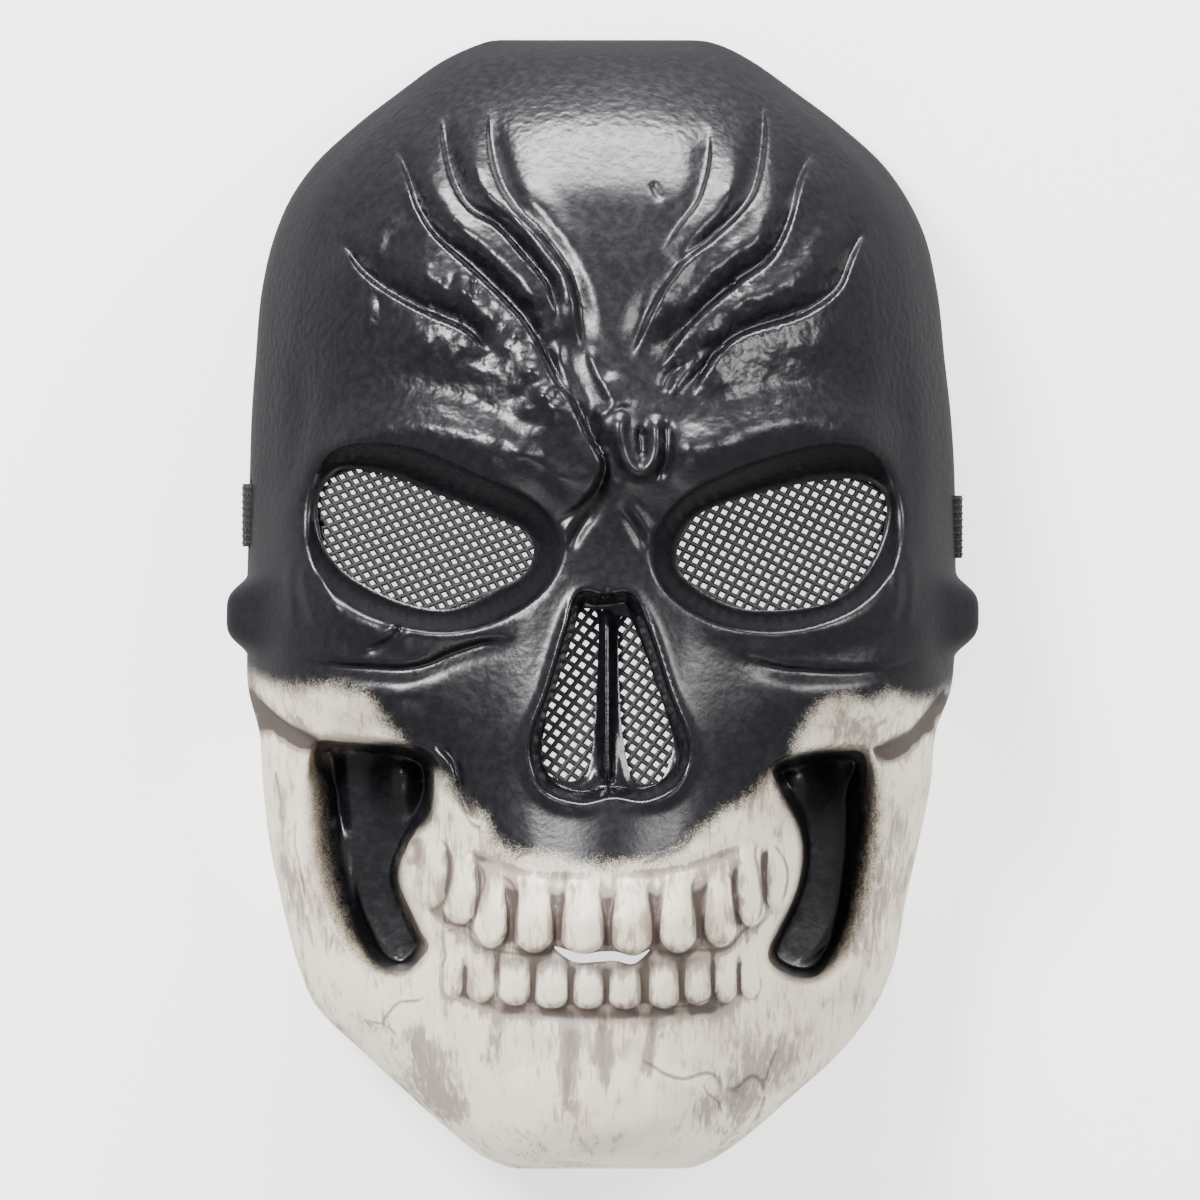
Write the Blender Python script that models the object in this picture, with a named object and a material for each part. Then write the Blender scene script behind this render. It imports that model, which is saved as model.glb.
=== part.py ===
"""Skull mask: a rigid moulded carnival mask with net behind its openings and an elastic strap.

The mask lies face up on its rim. +Z points out of the face, +Y to the forehead, +X to the right of
the front view. Sizes are millimetres until a mesh is made. Features of the face are placed on the
front view, in quarter millimetres, and front() turns such points into millimetres of the mask.
"""
import math
from collections import namedtuple

import bmesh
import bpy
import numpy as np
from mathutils import Matrix

MM = 0.001

# Driving sizes, mm
MASK_TOP = 141.75
MASK_BOTTOM = -141.75
WALL = 2.0
NET_THICKNESS = 0.8
SEAT_GAP = 0.3
STRAP_WIDTH = 15.8
STRAP_THICKNESS = 1.3
STRAP_SEWN = 3.0
STRAP_PLY_GAP = 0.25
STRAP_BEND = 1.2
STRAP_CORNER = 0.3
STRAP_PULL = 0.9
STRAP_TURN_RADIUS = 8.9
STRAP_TURN_RUN_IN = 1.8
STRAP_FLOOR_GAP = 0.4
SLOT_LENGTH = 21.0
SLOT_HEIGHT = 2.5
SLOT_CENTRE_Z = 10.1
STRAP_RIM_Z = 3.5
STRAP_GAP = 0.5

# Sampling of the moulding before its faces are thinned out, and how far its feet reach below the
# plane that they are trimmed to
ROWS = 190
COLUMNS = 150
END_CROWDING = 0.62
SHELL_TRIANGLES = 6350
FLAT_TRIM = -0.4

# Front view: units per millimetre, and the unit lines of the middle of the face and of the eyes
VIEW_UNITS = 4.0
VIEW_MIDDLE = 605.0
VIEW_EYE_LINE = 603.0

Section = namedtuple("Section", "y left right rim mid f20 f40 f60 f75 f88 f96")
# A row for each cross-section, top to chin: its place, half widths, rim height, and the height of
# the skin at shares of the half width
SECTIONS = (
    Section(141.75, 25.5, 23.5, 8.5, 8.5, 8.5, 8.5, 8.5, 8.5, 8.5, 8.5),
    Section(140.5, 31.0, 30.0, 8.5, 17.0, 16.8, 16.2, 15.2, 13.8, 12.0, 10.2),
    Section(136.0, 40.5, 38.8, 8.6, 31.0, 30.6, 29.2, 26.5, 23.0, 18.0, 13.5),
    Section(129.0, 50.2, 48.6, 8.5, 44.0, 43.4, 41.2, 37.2, 32.0, 24.0, 16.0),
    Section(120.0, 61.8, 60.6, 8.0, 56.0, 55.4, 52.6, 47.0, 40.0, 29.5, 18.0),
    Section(110.0, 72.4, 71.6, 5.4, 65.0, 64.3, 61.1, 54.7, 46.4, 33.2, 18.4),
    Section(102.0, 78.0, 77.4, 1.6, 71.0, 70.3, 67.0, 60.0, 50.8, 35.6, 18.8),
    Section(95.0, 81.2, 81.0, FLAT_TRIM, 74.5, 73.8, 70.4, 63.2, 53.5, 37.0, 19.0),
    Section(78.0, 85.4, 85.2, FLAT_TRIM, 81.0, 80.2, 76.8, 69.4, 59.0, 40.0, 20.0),
    Section(62.0, 86.8, 86.9, FLAT_TRIM, 85.0, 84.2, 80.4, 72.6, 61.5, 41.5, 21.0),
    Section(46.0, 87.9, 88.6, 0.8, 88.5, 87.6, 83.6, 75.0, 63.0, 43.5, 22.5),
    Section(33.0, 88.3, 89.3, 3.5, 89.5, 88.6, 84.6, 76.0, 65.0, 46.0, 24.0),
    Section(20.0, 88.6, 89.5, 3.5, 86.0, 85.4, 82.0, 75.0, 66.0, 48.0, 26.0),
    Section(6.0, 88.9, 89.6, 3.5, 86.0, 84.8, 80.6, 74.5, 67.0, 51.0, 30.0),
    Section(-8.0, 88.9, 89.4, 1.0, 88.0, 86.0, 80.0, 74.5, 68.5, 54.0, 33.0),
    Section(-22.0, 88.6, 88.4, FLAT_TRIM, 90.0, 87.6, 80.4, 73.5, 66.5, 51.0, 31.0),
    Section(-32.0, 86.0, 84.8, FLAT_TRIM, 91.0, 88.6, 80.6, 69.0, 59.5, 45.5, 27.0),
    Section(-45.0, 85.0, 83.4, FLAT_TRIM, 91.5, 88.8, 79.4, 63.0, 51.5, 41.0, 24.0),
    Section(-62.0, 83.0, 80.0, FLAT_TRIM, 94.5, 91.0, 79.6, 60.0, 47.5, 38.5, 22.5),
    Section(-76.0, 80.0, 76.8, 2.5, 97.0, 92.6, 79.6, 58.5, 46.0, 37.0, 23.0),
    Section(-90.0, 76.4, 74.0, 8.5, 96.5, 92.4, 80.0, 60.5, 48.5, 38.5, 26.5),
    Section(-101.0, 71.8, 69.2, 14.5, 94.5, 91.2, 80.6, 64.0, 53.0, 42.0, 31.0),
    Section(-113.0, 59.6, 59.8, 21.5, 93.5, 91.2, 83.0, 69.5, 59.5, 47.5, 36.5),
    Section(-124.0, 47.6, 47.4, 27.5, 92.5, 91.0, 84.6, 73.5, 64.5, 53.0, 42.0),
    Section(-133.0, 37.4, 37.0, 31.5, 89.5, 88.4, 83.6, 75.0, 67.0, 56.0, 45.0),
    Section(-138.8, 29.8, 28.6, 34.0, 78.0, 77.2, 74.0, 67.5, 61.5, 52.5, 44.0),
    Section(-141.0, 24.4, 24.0, 35.0, 55.0, 54.6, 53.0, 50.0, 47.0, 43.0, 39.0),
    Section(-141.75, 21.2, 20.0, 35.5, 35.5, 35.5, 35.5, 35.5, 35.5, 35.5, 35.5),
)
SHARES = (0.0, 0.2, 0.4, 0.6, 0.75, 0.88, 0.96, 1.0)

Fold = namedtuple("Fold", "name side depth valley lip roll fade path")
# A crease with a raised lip: side +1 has its valley on the left of the path's travel. Widths and
# heights are mm, fade is the share of the length over which each end dies away.
FOLDS = (
    Fold("left_inner", 1, 2.6, 3.4, 1.7, 3.6, 0.22, (
        (490, 100), (492, 160), (503, 195), (525, 220), (550, 250), (567, 280), (577, 320), (580, 360))),
    Fold("left_second", 1, 2.6, 3.6, 1.8, 4.0, 0.20, (
        (441, 112), (446, 160), (460, 200), (495, 228), (520, 255), (545, 287), (556, 322))),
    Fold("left_third", 1, 3.0, 4.2, 1.9, 4.2, 0.16, (
        (392, 140), (408, 180), (425, 225), (462, 264), (503, 300), (533, 340), (560, 392), (582, 430),
        (598, 462), (590, 492), (552, 518))),
    Fold("left_outer", 1, 2.8, 4.4, 1.8, 4.0, 0.20, (
        (340, 240), (360, 270), (385, 293), (430, 317), (475, 340), (493, 359))),
    Fold("right_inner", -1, 1.5, 3.2, 0.9, 3.6, 0.30, (
        (712, 118), (710, 160), (700, 200), (680, 228), (655, 264))),
    Fold("right_second", -1, 2.3, 3.6, 1.4, 3.8, 0.20, (
        (768, 95), (765, 160), (752, 200), (722, 233), (685, 262), (660, 295), (640, 335), (628, 362))),
    Fold("right_third", -1, 2.4, 4.0, 1.5, 4.0, 0.20, (
        (822, 148), (803, 180), (790, 225), (765, 265), (738, 288), (700, 318), (678, 340), (658, 372))),
    Fold("right_outer", -1, 2.3, 4.2, 1.5, 4.2, 0.20, (
        (870, 225), (850, 265), (838, 292), (800, 318), (740, 338), (705, 372), (690, 400))),
    Fold("left_cheek", -1, 1.8, 3.2, 1.0, 3.0, 0.25, (
        (305, 650), (340, 661), (400, 664), (440, 652), (480, 640))),
    Fold("right_cheek", 1, 1.3, 3.2, 0.8, 3.0, 0.30, (
        (925, 650), (900, 662), (850, 668), (790, 666), (750, 657))),
)

Ridge = namedtuple("Ridge", "name height width fade path")
# Rounded rolls, or furrows where the height is negative
RIDGES = (
    Ridge("roll_left_centre", 1.5, 4.5, 0.3, ((520, 185), (556, 235), (583, 290), (596, 345))),
    Ridge("roll_left_inner", 1.9, 3.2, 0.25, (
        (466, 140), (480, 190), (512, 222), (540, 258), (560, 300), (567, 340))),
    Ridge("roll_left_middle", 2.3, 4.2, 0.2, (
        (418, 150), (436, 205), (478, 243), (510, 272), (536, 312), (552, 350))),
    Ridge("roll_left_lower", 2.4, 5.0, 0.2, (
        (385, 262), (425, 280), (470, 305), (510, 338), (542, 385), (566, 425))),
    Ridge("roll_left_brow", 2.0, 5.5, 0.3, ((372, 318), (425, 345), (480, 372), (530, 402))),
    Ridge("roll_right_inner", 1.6, 3.6, 0.25, ((735, 150), (725, 195), (698, 240), (668, 280), (640, 335))),
    Ridge("roll_right_middle", 1.8, 4.2, 0.25, (
        (786, 165), (770, 215), (732, 262), (695, 298), (668, 345))),
    Ridge("roll_right_lower", 1.9, 5.0, 0.25, ((838, 205), (815, 262), (770, 300), (715, 335), (688, 385))),
    Ridge("brow_left", 5.2, 7.0, 0.25, (
        (300, 482), (340, 448), (395, 430), (450, 434), (500, 452), (545, 486))),
    Ridge("brow_right", 5.0, 7.0, 0.25, (
        (905, 480), (870, 440), (815, 424), (765, 428), (715, 448), (672, 486))),
    Ridge("glabella_loop", 2.2, 2.0, 0.15, (
        (620, 410), (617, 440), (628, 466), (641, 472), (653, 458), (655, 416))),
    Ridge("glabella_left_strip", 2.0, 2.2, 0.3, ((556, 342), (562, 372), (585, 412))),
    Ridge("glabella_centre", 1.5, 2.6, 0.3, ((598, 350), (618, 384), (621, 412))),
    Ridge("glabella_low_left", 1.4, 1.8, 0.3, ((604, 452), (608, 478), (614, 494))),
    Ridge("bridge_fold_left", 1.1, 1.6, 0.4, ((592, 496), (576, 516), (564, 534))),
    Ridge("bridge_fold_right", 1.1, 1.6, 0.4, ((620, 496), (632, 512), (644, 526))),
    Ridge("temple_left", -3.0, 6.0, 0.3, ((286, 335), (312, 400), (300, 470), (283, 520))),
    Ridge("temple_right", -2.4, 6.0, 0.3, ((920, 335), (898, 400), (908, 470), (922, 520))),
    Ridge("orbit_left", 2.6, 4.0, 0.3, (
        (305, 500), (300, 560), (330, 606), (395, 632), (470, 628), (525, 600))),
    Ridge("orbit_right", 2.4, 4.0, 0.3, (
        (902, 500), (905, 560), (872, 606), (812, 630), (735, 630), (680, 602))),
    Ridge("cheekbone_left", 3.4, 7.0, 0.35, ((262, 650), (300, 690), (350, 705), (410, 700), (455, 690))),
    Ridge("cheekbone_right", 3.2, 7.0, 0.35, ((945, 650), (905, 692), (850, 708), (795, 705), (750, 694))),
    Ridge("jaw_left", 2.6, 5.0, 0.3, ((288, 800), (296, 860), (318, 930), (352, 985), (400, 1012))),
    Ridge("jaw_right", 2.4, 5.0, 0.3, ((900, 800), (895, 860), (878, 930), (850, 985), (805, 1014))),
    Ridge("gum_line", -1.6, 3.0, 0.2, ((455, 1000), (520, 1012), (600, 1016), (690, 1012), (760, 1000))),
    Ridge("chin_left", 1.6, 7.0, 0.3, ((520, 1060), (535, 1110), (560, 1140))),
    Ridge("chin_right", 1.6, 7.0, 0.3, ((690, 1060), (675, 1110), (650, 1140))),
)

# The raised rim of the nose opening and the bar between the nostrils stand on the carved skin
NOSE_RIDGES = (
    Ridge("nose_rim_left", 1.6, 1.9, 0.2, (
        (600, 597), (578, 594), (562, 634), (545, 690), (526, 745), (540, 790), (580, 806), (612, 800))),
    Ridge("nose_rim_right", 1.6, 1.9, 0.2, (
        (612, 597), (630, 594), (650, 634), (668, 690), (690, 745), (676, 788), (640, 804), (612, 800))),
    Ridge("septum", 2.6, 1.5, 0.12, ((606, 606), (606, 690), (606, 790))),
)

Blob = namedtuple("Blob", "name at_x at_y half_width half_height rise")
# Rounded swellings, their place on the front view and their size in mm
BLOBS = (
    Blob("glabella_right", 686, 450, 4.6, 6.4, 2.6),
    Blob("glabella_left", 604, 424, 3.6, 4.6, 1.4),
    Blob("glabella_mound", 606, 440, 15.0, 16.0, 2.4),
    Blob("cheek_left", 385, 628, 12.0, 7.0, 2.0),
    Blob("cheek_right", 820, 630, 12.0, 7.0, 1.6),
    Blob("forehead_left", 430, 250, 22.0, 20.0, 1.6),
    Blob("forehead_right", 790, 250, 22.0, 20.0, 1.6),
    Blob("chin", 606, 1110, 20.0, 12.0, 2.6),
)

Tooth = namedtuple("Tooth", "name left right top bottom rise")
TEETH = (
    Tooth("upper_left_6", 402, 428, 832, 896, 1.8),
    Tooth("upper_left_5", 414, 446, 845, 915, 2.2),
    Tooth("upper_left_4", 448, 474, 852, 922, 2.4),
    Tooth("upper_left_3", 476, 504, 874, 945, 2.5),
    Tooth("upper_left_2", 516, 549, 880, 950, 2.7),
    Tooth("upper_left_1", 558, 601, 880, 953, 2.9),
    Tooth("upper_right_1", 608, 650, 880, 953, 2.9),
    Tooth("upper_right_2", 656, 691, 880, 950, 2.7),
    Tooth("upper_right_3", 702, 732, 876, 945, 2.5),
    Tooth("upper_right_4", 737, 762, 862, 925, 2.4),
    Tooth("upper_right_5", 766, 790, 848, 912, 2.2),
    Tooth("upper_right_6", 783, 801, 835, 898, 1.8),
    Tooth("lower_left_5", 446, 462, 958, 996, 1.3),
    Tooth("lower_left_4", 469, 493, 958, 1000, 1.5),
    Tooth("lower_left_3", 500, 529, 958, 1003, 1.7),
    Tooth("lower_left_2", 535, 566, 960, 1006, 1.8),
    Tooth("lower_left_1", 572, 601, 962, 1006, 1.8),
    Tooth("lower_right_1", 608, 638, 962, 1006, 1.8),
    Tooth("lower_right_2", 648, 676, 960, 1006, 1.8),
    Tooth("lower_right_3", 684, 709, 958, 1003, 1.7),
    Tooth("lower_right_4", 714, 735, 958, 1000, 1.5),
    Tooth("lower_right_5", 741, 758, 958, 996, 1.3),
)
TOOTH_SOFTNESS = 0.9

# Outlines on the front view, each closed, with round stretches drawn through their points
LEFT_EYE = (
    (320, 500), (334, 476), (352, 469), (395, 477), (445, 497), (490, 515), (523, 530), (534, 548),
    (526, 572), (500, 587), (460, 607), (425, 608), (385, 595), (345, 571), (324, 540))
RIGHT_EYE = (
    (677, 562), (680, 538), (697, 516), (735, 500), (790, 486), (845, 479), (876, 485), (888, 506),
    (882, 540), (864, 575), (835, 600), (795, 609), (745, 609), (710, 596), (684, 577))
LEFT_SOCKET = (
    (296, 500), (318, 455), (360, 440), (420, 448), (480, 474), (535, 500), (566, 540), (552, 585),
    (510, 618), (455, 634), (400, 628), (345, 604), (308, 560))
RIGHT_SOCKET = (
    (912, 505), (890, 455), (845, 440), (785, 450), (720, 474), (672, 504), (646, 545), (660, 590),
    (705, 622), (760, 634), (812, 628), (866, 602), (902, 560))
LEFT_NOSTRIL = (
    (580, 612), (592, 610), (598, 622), (597, 670), (594, 725), (589, 766), (580, 778), (562, 780),
    (546, 771), (542, 750), (547, 712), (558, 680), (570, 644))
RIGHT_NOSTRIL = (
    (619, 622), (628, 618), (638, 636), (652, 674), (668, 722), (672, 746), (662, 777), (648, 783),
    (634, 782), (627, 766), (621, 725), (618, 670))
NOSE_RIM = (
    (604, 598), (578, 596), (566, 634), (549, 690), (532, 742), (543, 784), (578, 798), (612, 793),
    (645, 796), (676, 778), (685, 744), (666, 692), (648, 636), (630, 597))
LEFT_HOLLOW = (
    (320, 744), (380, 742), (430, 756), (436, 800), (412, 848), (404, 880), (422, 924), (430, 950),
    (406, 974), (370, 958), (338, 910), (320, 860), (314, 800))
RIGHT_HOLLOW = (
    (772, 768), (820, 752), (866, 752), (874, 800), (872, 870), (856, 938), (822, 978), (786, 976),
    (768, 952), (792, 900), (802, 858), (796, 818))
MOUTH_SLIT = (
    (553, 944), (580, 951), (598, 949), (614, 949), (632, 953), (648, 947), (632, 961), (613, 958),
    (596, 959), (572, 959))

Plane = namedtuple("Plane", "name z slope_x slope_y from_x from_y")
# Flat seats of the nets: height of the outer skin there, falling away from the middle
EYE_SEAT = Plane("eye", 73.0, -0.36, 0.0, 17.0, 0.0)
NOSE_SEAT = Plane("nose", 77.0, 0.0, -0.13, 0.0, -2.0)
HOLLOW_FLOOR = 23.0
HOLLOW_FOLLOWS = 0.24
HOLLOW_EDGE = 5.5
KNOB_SOLID = 0.6
NOSE_EDGE = 3.2

Slot = namedtuple("Slot", "name side centre_y")
SLOTS = (Slot("left", -1, 20.7), Slot("right", 1, 17.8))
STRAP_LIFT_IN_SLOT = 1.4

BowPoint = namedtuple("BowPoint", "x y")
# Left half of the strap's free stretch, from the end of its quarter turn to the middle: it stands
# on edge in one round bow behind the teeth
BOW = (
    BowPoint(70.4, 4.5),
    BowPoint(68.6, -6.0),
    BowPoint(65.0, -18.5),
    BowPoint(56.4, -31.5),
    BowPoint(42.0, -42.5),
    BowPoint(22.0, -49.5),
    BowPoint(0.0, -52.0),
)
TURN_STEPS = 12
BOW_STEPS = 4

NetPanel = namedtuple("NetPanel", "name outline seat margin pitch_x pitch_y across up")
NETS = (
    NetPanel("eye_mesh_left", LEFT_EYE, EYE_SEAT, 2.5, 7.8, 7.0, 5.4, 4.6),
    NetPanel("eye_mesh_right", RIGHT_EYE, EYE_SEAT, 2.5, 7.8, 7.0, 5.4, 4.6),
    NetPanel("nose_mesh_left", LEFT_NOSTRIL, NOSE_SEAT, 1.9, 4.8, 6.6, 3.2, 4.2),
    NetPanel("nose_mesh_right", RIGHT_NOSTRIL, NOSE_SEAT, 1.9, 4.8, 6.6, 3.2, 4.2),
)


def clear_scene():
    for thing in list(bpy.data.objects):
        bpy.data.objects.remove(thing)


def make_material(name, colour, roughness):
    material = bpy.data.materials.new(name)
    material.use_nodes = True
    shader = material.node_tree.nodes["Principled BSDF"]
    shader.inputs["Base Color"].default_value = (*colour, 1.0)
    shader.inputs["Roughness"].default_value = roughness
    shader.inputs["Metallic"].default_value = 0.0
    return material


def front(points):
    """Points of the front view as an array of mask millimetres."""
    array = np.array(points, dtype=float)
    x = (array[:, 0] - VIEW_MIDDLE) / VIEW_UNITS
    y = (VIEW_EYE_LINE - array[:, 1]) / VIEW_UNITS
    return np.stack([x, y], axis=1)


def smooth_step(share):
    share = np.clip(share, 0.0, 1.0)
    return share * share * (3.0 - 2.0 * share)


def rounded_path(points, closed=False, steps=6):
    """A Catmull-Rom curve through the points."""
    points = np.asarray(points, dtype=float)
    if closed:
        padded = np.vstack([points[-1:], points, points[:2]])
    else:
        padded = np.vstack([2 * points[0] - points[1], points, 2 * points[-1] - points[-2]])
    pieces = []
    share = (np.arange(steps) / steps)[:, None]
    for a, b, c, d in zip(padded, padded[1:], padded[2:], padded[3:]):
        pieces.append(0.5 * (2 * b + (c - a) * share + (2 * a - 5 * b + 4 * c - d) * share ** 2
                             + (3 * b - a - 3 * c + d) * share ** 3))
    if not closed:
        pieces.append(points[-1:])
    return np.vstack(pieces)


def cubic_curve(knots, values, wanted, level_start=False, monotone=False):
    """Piecewise cubic through the knots, along the first axis; it can be kept from overshooting."""
    knots = np.asarray(knots, dtype=float)
    values = np.asarray(values, dtype=float)
    gaps = np.diff(knots)
    rises = np.diff(values, axis=0) / gaps.reshape((-1,) + (1,) * (values.ndim - 1))
    slopes = np.zeros_like(values)
    slopes[0] = rises[0]
    slopes[-1] = rises[-1]
    before, after = rises[:-1], rises[1:]
    if monotone:
        total = before + after
        safe = np.where(np.abs(total) > 1e-12, total, 1.0)
        slopes[1:-1] = np.where(before * after > 0, 2.0 * before * after / safe, 0.0)
    else:
        spans = gaps.reshape((-1,) + (1,) * (values.ndim - 1))
        slopes[1:-1] = (before * spans[1:] + after * spans[:-1]) / (spans[1:] + spans[:-1])
    if level_start:
        slopes[0] = 0.0
    index = np.clip(np.searchsorted(knots, wanted, side="right") - 1, 0, len(gaps) - 1)
    shape = (-1,) + (1,) * (values.ndim - 1)
    width = gaps[index].reshape(shape)
    t = ((wanted - knots[index]) / gaps[index]).reshape(shape)
    return ((2 * t ** 3 - 3 * t ** 2 + 1) * values[index] + (t ** 3 - 2 * t ** 2 + t) * width * slopes[index]
            + (3 * t ** 2 - 2 * t ** 3) * values[index + 1] + (t ** 3 - t ** 2) * width * slopes[index + 1])


def crowd(count):
    """Shares from -1 to 1, closer together towards both ends."""
    even = np.linspace(-1.0, 1.0, count)
    return (1 - END_CROWDING) * even + END_CROWDING * np.sin(even * math.pi / 2)


def rise_angle(y):
    """Angle of a cross-section as seen from the side: a quarter turn at the top and at the chin."""
    share = np.where(y > 0, y / MASK_TOP, -y / MASK_BOTTOM)
    return np.arcsin(np.clip(share, -1.0, 1.0))


def near_path(path, x, y):
    """Signed distance to a path, left of travel positive, and the share of its length passed."""
    starts = path[:-1]
    runs = np.diff(path, axis=0)
    lengths = np.maximum(np.hypot(runs[:, 0], runs[:, 1]), 1e-9)
    passed = np.concatenate([[0.0], np.cumsum(lengths)])
    best = np.full(x.shape, 1e9)
    signed = np.full(x.shape, 1e9)
    share = np.zeros(x.shape)
    for start, run, length, before in zip(starts, runs, lengths, passed):
        dx = x - start[0]
        dy = y - start[1]
        along = np.clip((dx * run[0] + dy * run[1]) / length ** 2, 0.0, 1.0)
        gap = np.hypot(dx - along * run[0], dy - along * run[1])
        closer = gap < best
        best = np.where(closer, gap, best)
        side = np.where(run[0] * dy - run[1] * dx >= 0, 1.0, -1.0)
        signed = np.where(closer, gap * side, signed)
        share = np.where(closer, (before + along * length) / passed[-1], share)
    return signed, share


def inside_outline(outline, x, y):
    """Distance to a closed outline, positive inside."""
    closed = np.vstack([outline, outline[:1]])
    gap = np.abs(near_path(closed, x, y)[0])
    crossings = np.zeros(x.shape, dtype=int)
    for (ax, ay), (bx, by) in zip(closed, closed[1:]):
        if ay == by:
            continue
        spans = (ay > y) != (by > y)
        crossings += (spans & (x < (bx - ax) * (y - ay) / (by - ay) + ax)).astype(int)
    return np.where(crossings % 2 == 1, gap, -gap)


def end_fade(share, fade):
    return smooth_step(share / fade) * smooth_step((1.0 - share) / fade)


def window(path, reach, x, y):
    low = path.min(axis=0) - reach
    high = path.max(axis=0) + reach
    return (x > low[0]) & (x < high[0]) & (y > low[1]) & (y < high[1])


def fold_relief(fold, x, y):
    """The valley, lip and roll of one fold."""
    path = rounded_path(front(fold.path))
    relief = np.zeros(x.shape)
    near = window(path, 3.0 * max(fold.valley, fold.roll), x, y)
    distance, share = near_path(path, x[near], y[near])
    distance = distance * fold.side
    valley = -fold.depth * np.exp(-((distance - 1.1) / fold.valley) ** 2)
    lip = fold.lip * np.exp(-((distance + 1.0) / fold.roll) ** 2)
    cut = smooth_step((distance + 0.9) / 1.8)
    relief[near] = (valley * cut + lip * (1.0 - cut)) * end_fade(share, fold.fade)
    return relief


def ridge_relief(ridge, x, y):
    path = rounded_path(front(ridge.path))
    relief = np.zeros(x.shape)
    near = window(path, 3.0 * ridge.width, x, y)
    distance, share = near_path(path, x[near], y[near])
    relief[near] = ridge.height * np.exp(-(distance / ridge.width) ** 2) * end_fade(share, ridge.fade)
    return relief


def blob_relief(blob, x, y):
    centre = front([(blob.at_x, blob.at_y)])[0]
    across = (x - centre[0]) / blob.half_width
    up = (y - centre[1]) / blob.half_height
    return blob.rise * np.exp(-across ** 2 - up ** 2)


def tooth_relief(tooth, x, y):
    """A tooth is a cushion: flat in the middle, round towards its neighbours."""
    (left, top), (right, bottom) = front([(tooth.left, tooth.top), (tooth.right, tooth.bottom)])
    across = np.abs(x - (left + right) / 2) / ((right - left) / 2)
    up = np.abs(y - (top + bottom) / 2) / ((top - bottom) / 2)
    body = 1.0 - across ** 2.4 - 0.55 * up ** 4
    return tooth.rise * smooth_step(body / TOOTH_SOFTNESS)


def seat_height(seat, x, y):
    return seat.z + seat.slope_x * (np.abs(x) - seat.from_x) + seat.slope_y * (y - seat.from_y)


def between(inner, outer, grow, x, y):
    """0 on and inside the inner outline, 1 on and outside the outer one, which can be grown."""
    past_inner = np.maximum(-inside_outline(inner, x, y), 0.0)
    before_outer = np.maximum(inside_outline(outer, x, y) + grow, 0.0)
    return past_inner / np.maximum(past_inner + before_outer, 1e-6)


def sink(height, near, target, blend):
    height[near] = height[near] + (target - height[near]) * blend


def carve(height, x, y, wall=0.0):
    """Sinks the eye sockets, the nose opening and the hollows of the cheeks into a skin.

    The inner skin is one wall lower and has each of them one wall wider.
    """
    height = height.copy()
    for hole, socket in ((LEFT_EYE, LEFT_SOCKET), (RIGHT_EYE, RIGHT_SOCKET)):
        hole_path = rounded_path(front(hole), closed=True)
        socket_path = rounded_path(front(socket), closed=True)
        near = window(socket_path, 1.0 + wall, x, y)
        share = between(hole_path, socket_path, wall, x[near], y[near])
        target = seat_height(EYE_SEAT, x[near], y[near]) - wall
        sink(height, near, target, 1.0 - smooth_step((share - 0.12) / 0.88))
    for hollow in (LEFT_HOLLOW, RIGHT_HOLLOW):
        path = rounded_path(front(hollow), closed=True)
        near = window(path, HOLLOW_EDGE + wall, x, y)
        depth = inside_outline(path, x[near], y[near]) + wall
        floor = HOLLOW_FLOOR + HOLLOW_FOLLOWS * (height[near] + wall - HOLLOW_FLOOR) - wall
        sink(height, near, floor, smooth_step((depth + HOLLOW_EDGE * 0.45) / (HOLLOW_EDGE * 1.45)))
    path = rounded_path(front(NOSE_RIM), closed=True)
    near = window(path, NOSE_EDGE + wall, x, y)
    depth = inside_outline(path, x[near], y[near]) + wall
    target = seat_height(NOSE_SEAT, x[near], y[near]) - wall
    sink(height, near, target, smooth_step((depth + NOSE_EDGE * 0.35) / NOSE_EDGE))
    return height


def base_form(rows, columns):
    """Grid of the plain form: x, y and height, the rim height, and the share of the half width."""
    table = np.array(SECTIONS)
    order = np.argsort(table[:, 0])
    table = table[order]
    reach = crowd(rows)
    y = np.where(reach > 0, reach * MASK_TOP, -reach * MASK_BOTTOM)
    sections = cubic_curve(rise_angle(table[:, 0]), table[:, 1:], rise_angle(y))
    share = crowd(columns)
    half = np.where(share[None, :] < 0, sections[:, 0:1], sections[:, 1:2])
    rim = np.maximum(sections[:, 2], FLAT_TRIM)
    stations = np.concatenate([sections[:, 3:], rim[:, None]], axis=1)
    knots = np.arcsin(np.array(SHARES))
    height = cubic_curve(knots, stations.T, np.arcsin(np.abs(share)), level_start=True, monotone=True).T
    x = share[None, :] * half
    return x, np.repeat(y[:, None], columns, axis=1), height, rim, share


def cheek_knobs(x, y, z):
    """How far each side wall swells outwards beside the cheek, the widest place of the mask."""
    swell = 7.0 * np.exp(-((y + 2.9) / 8.6) ** 4 - ((z - 24.0) / 12.0) ** 2)
    side = smooth_step((np.abs(x) - 66.0) / 14.0)
    return np.sign(x) * swell * side


def relief_of(x, y):
    """Folds, ridges, swellings and teeth as one height over the plain form."""
    relief = np.zeros(x.shape)
    for fold in FOLDS:
        relief += fold_relief(fold, x, y)
    for ridge in RIDGES:
        relief += ridge_relief(ridge, x, y)
    for blob in BLOBS:
        relief += blob_relief(blob, x, y)
    teeth = np.zeros(x.shape)
    for tooth in TEETH:
        teeth = np.maximum(teeth, tooth_relief(tooth, x, y))
    return relief + teeth


def blur(grid, passes):
    """Evens a grid out while its border stays."""
    for _ in range(passes):
        around = grid[:-2, 1:-1] + grid[2:, 1:-1] + grid[1:-1, :-2] + grid[1:-1, 2:]
        inner = (grid[1:-1, 1:-1] * 4 + around) / 8
        grid = grid.copy()
        grid[1:-1, 1:-1] = inner
    return grid


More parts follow.
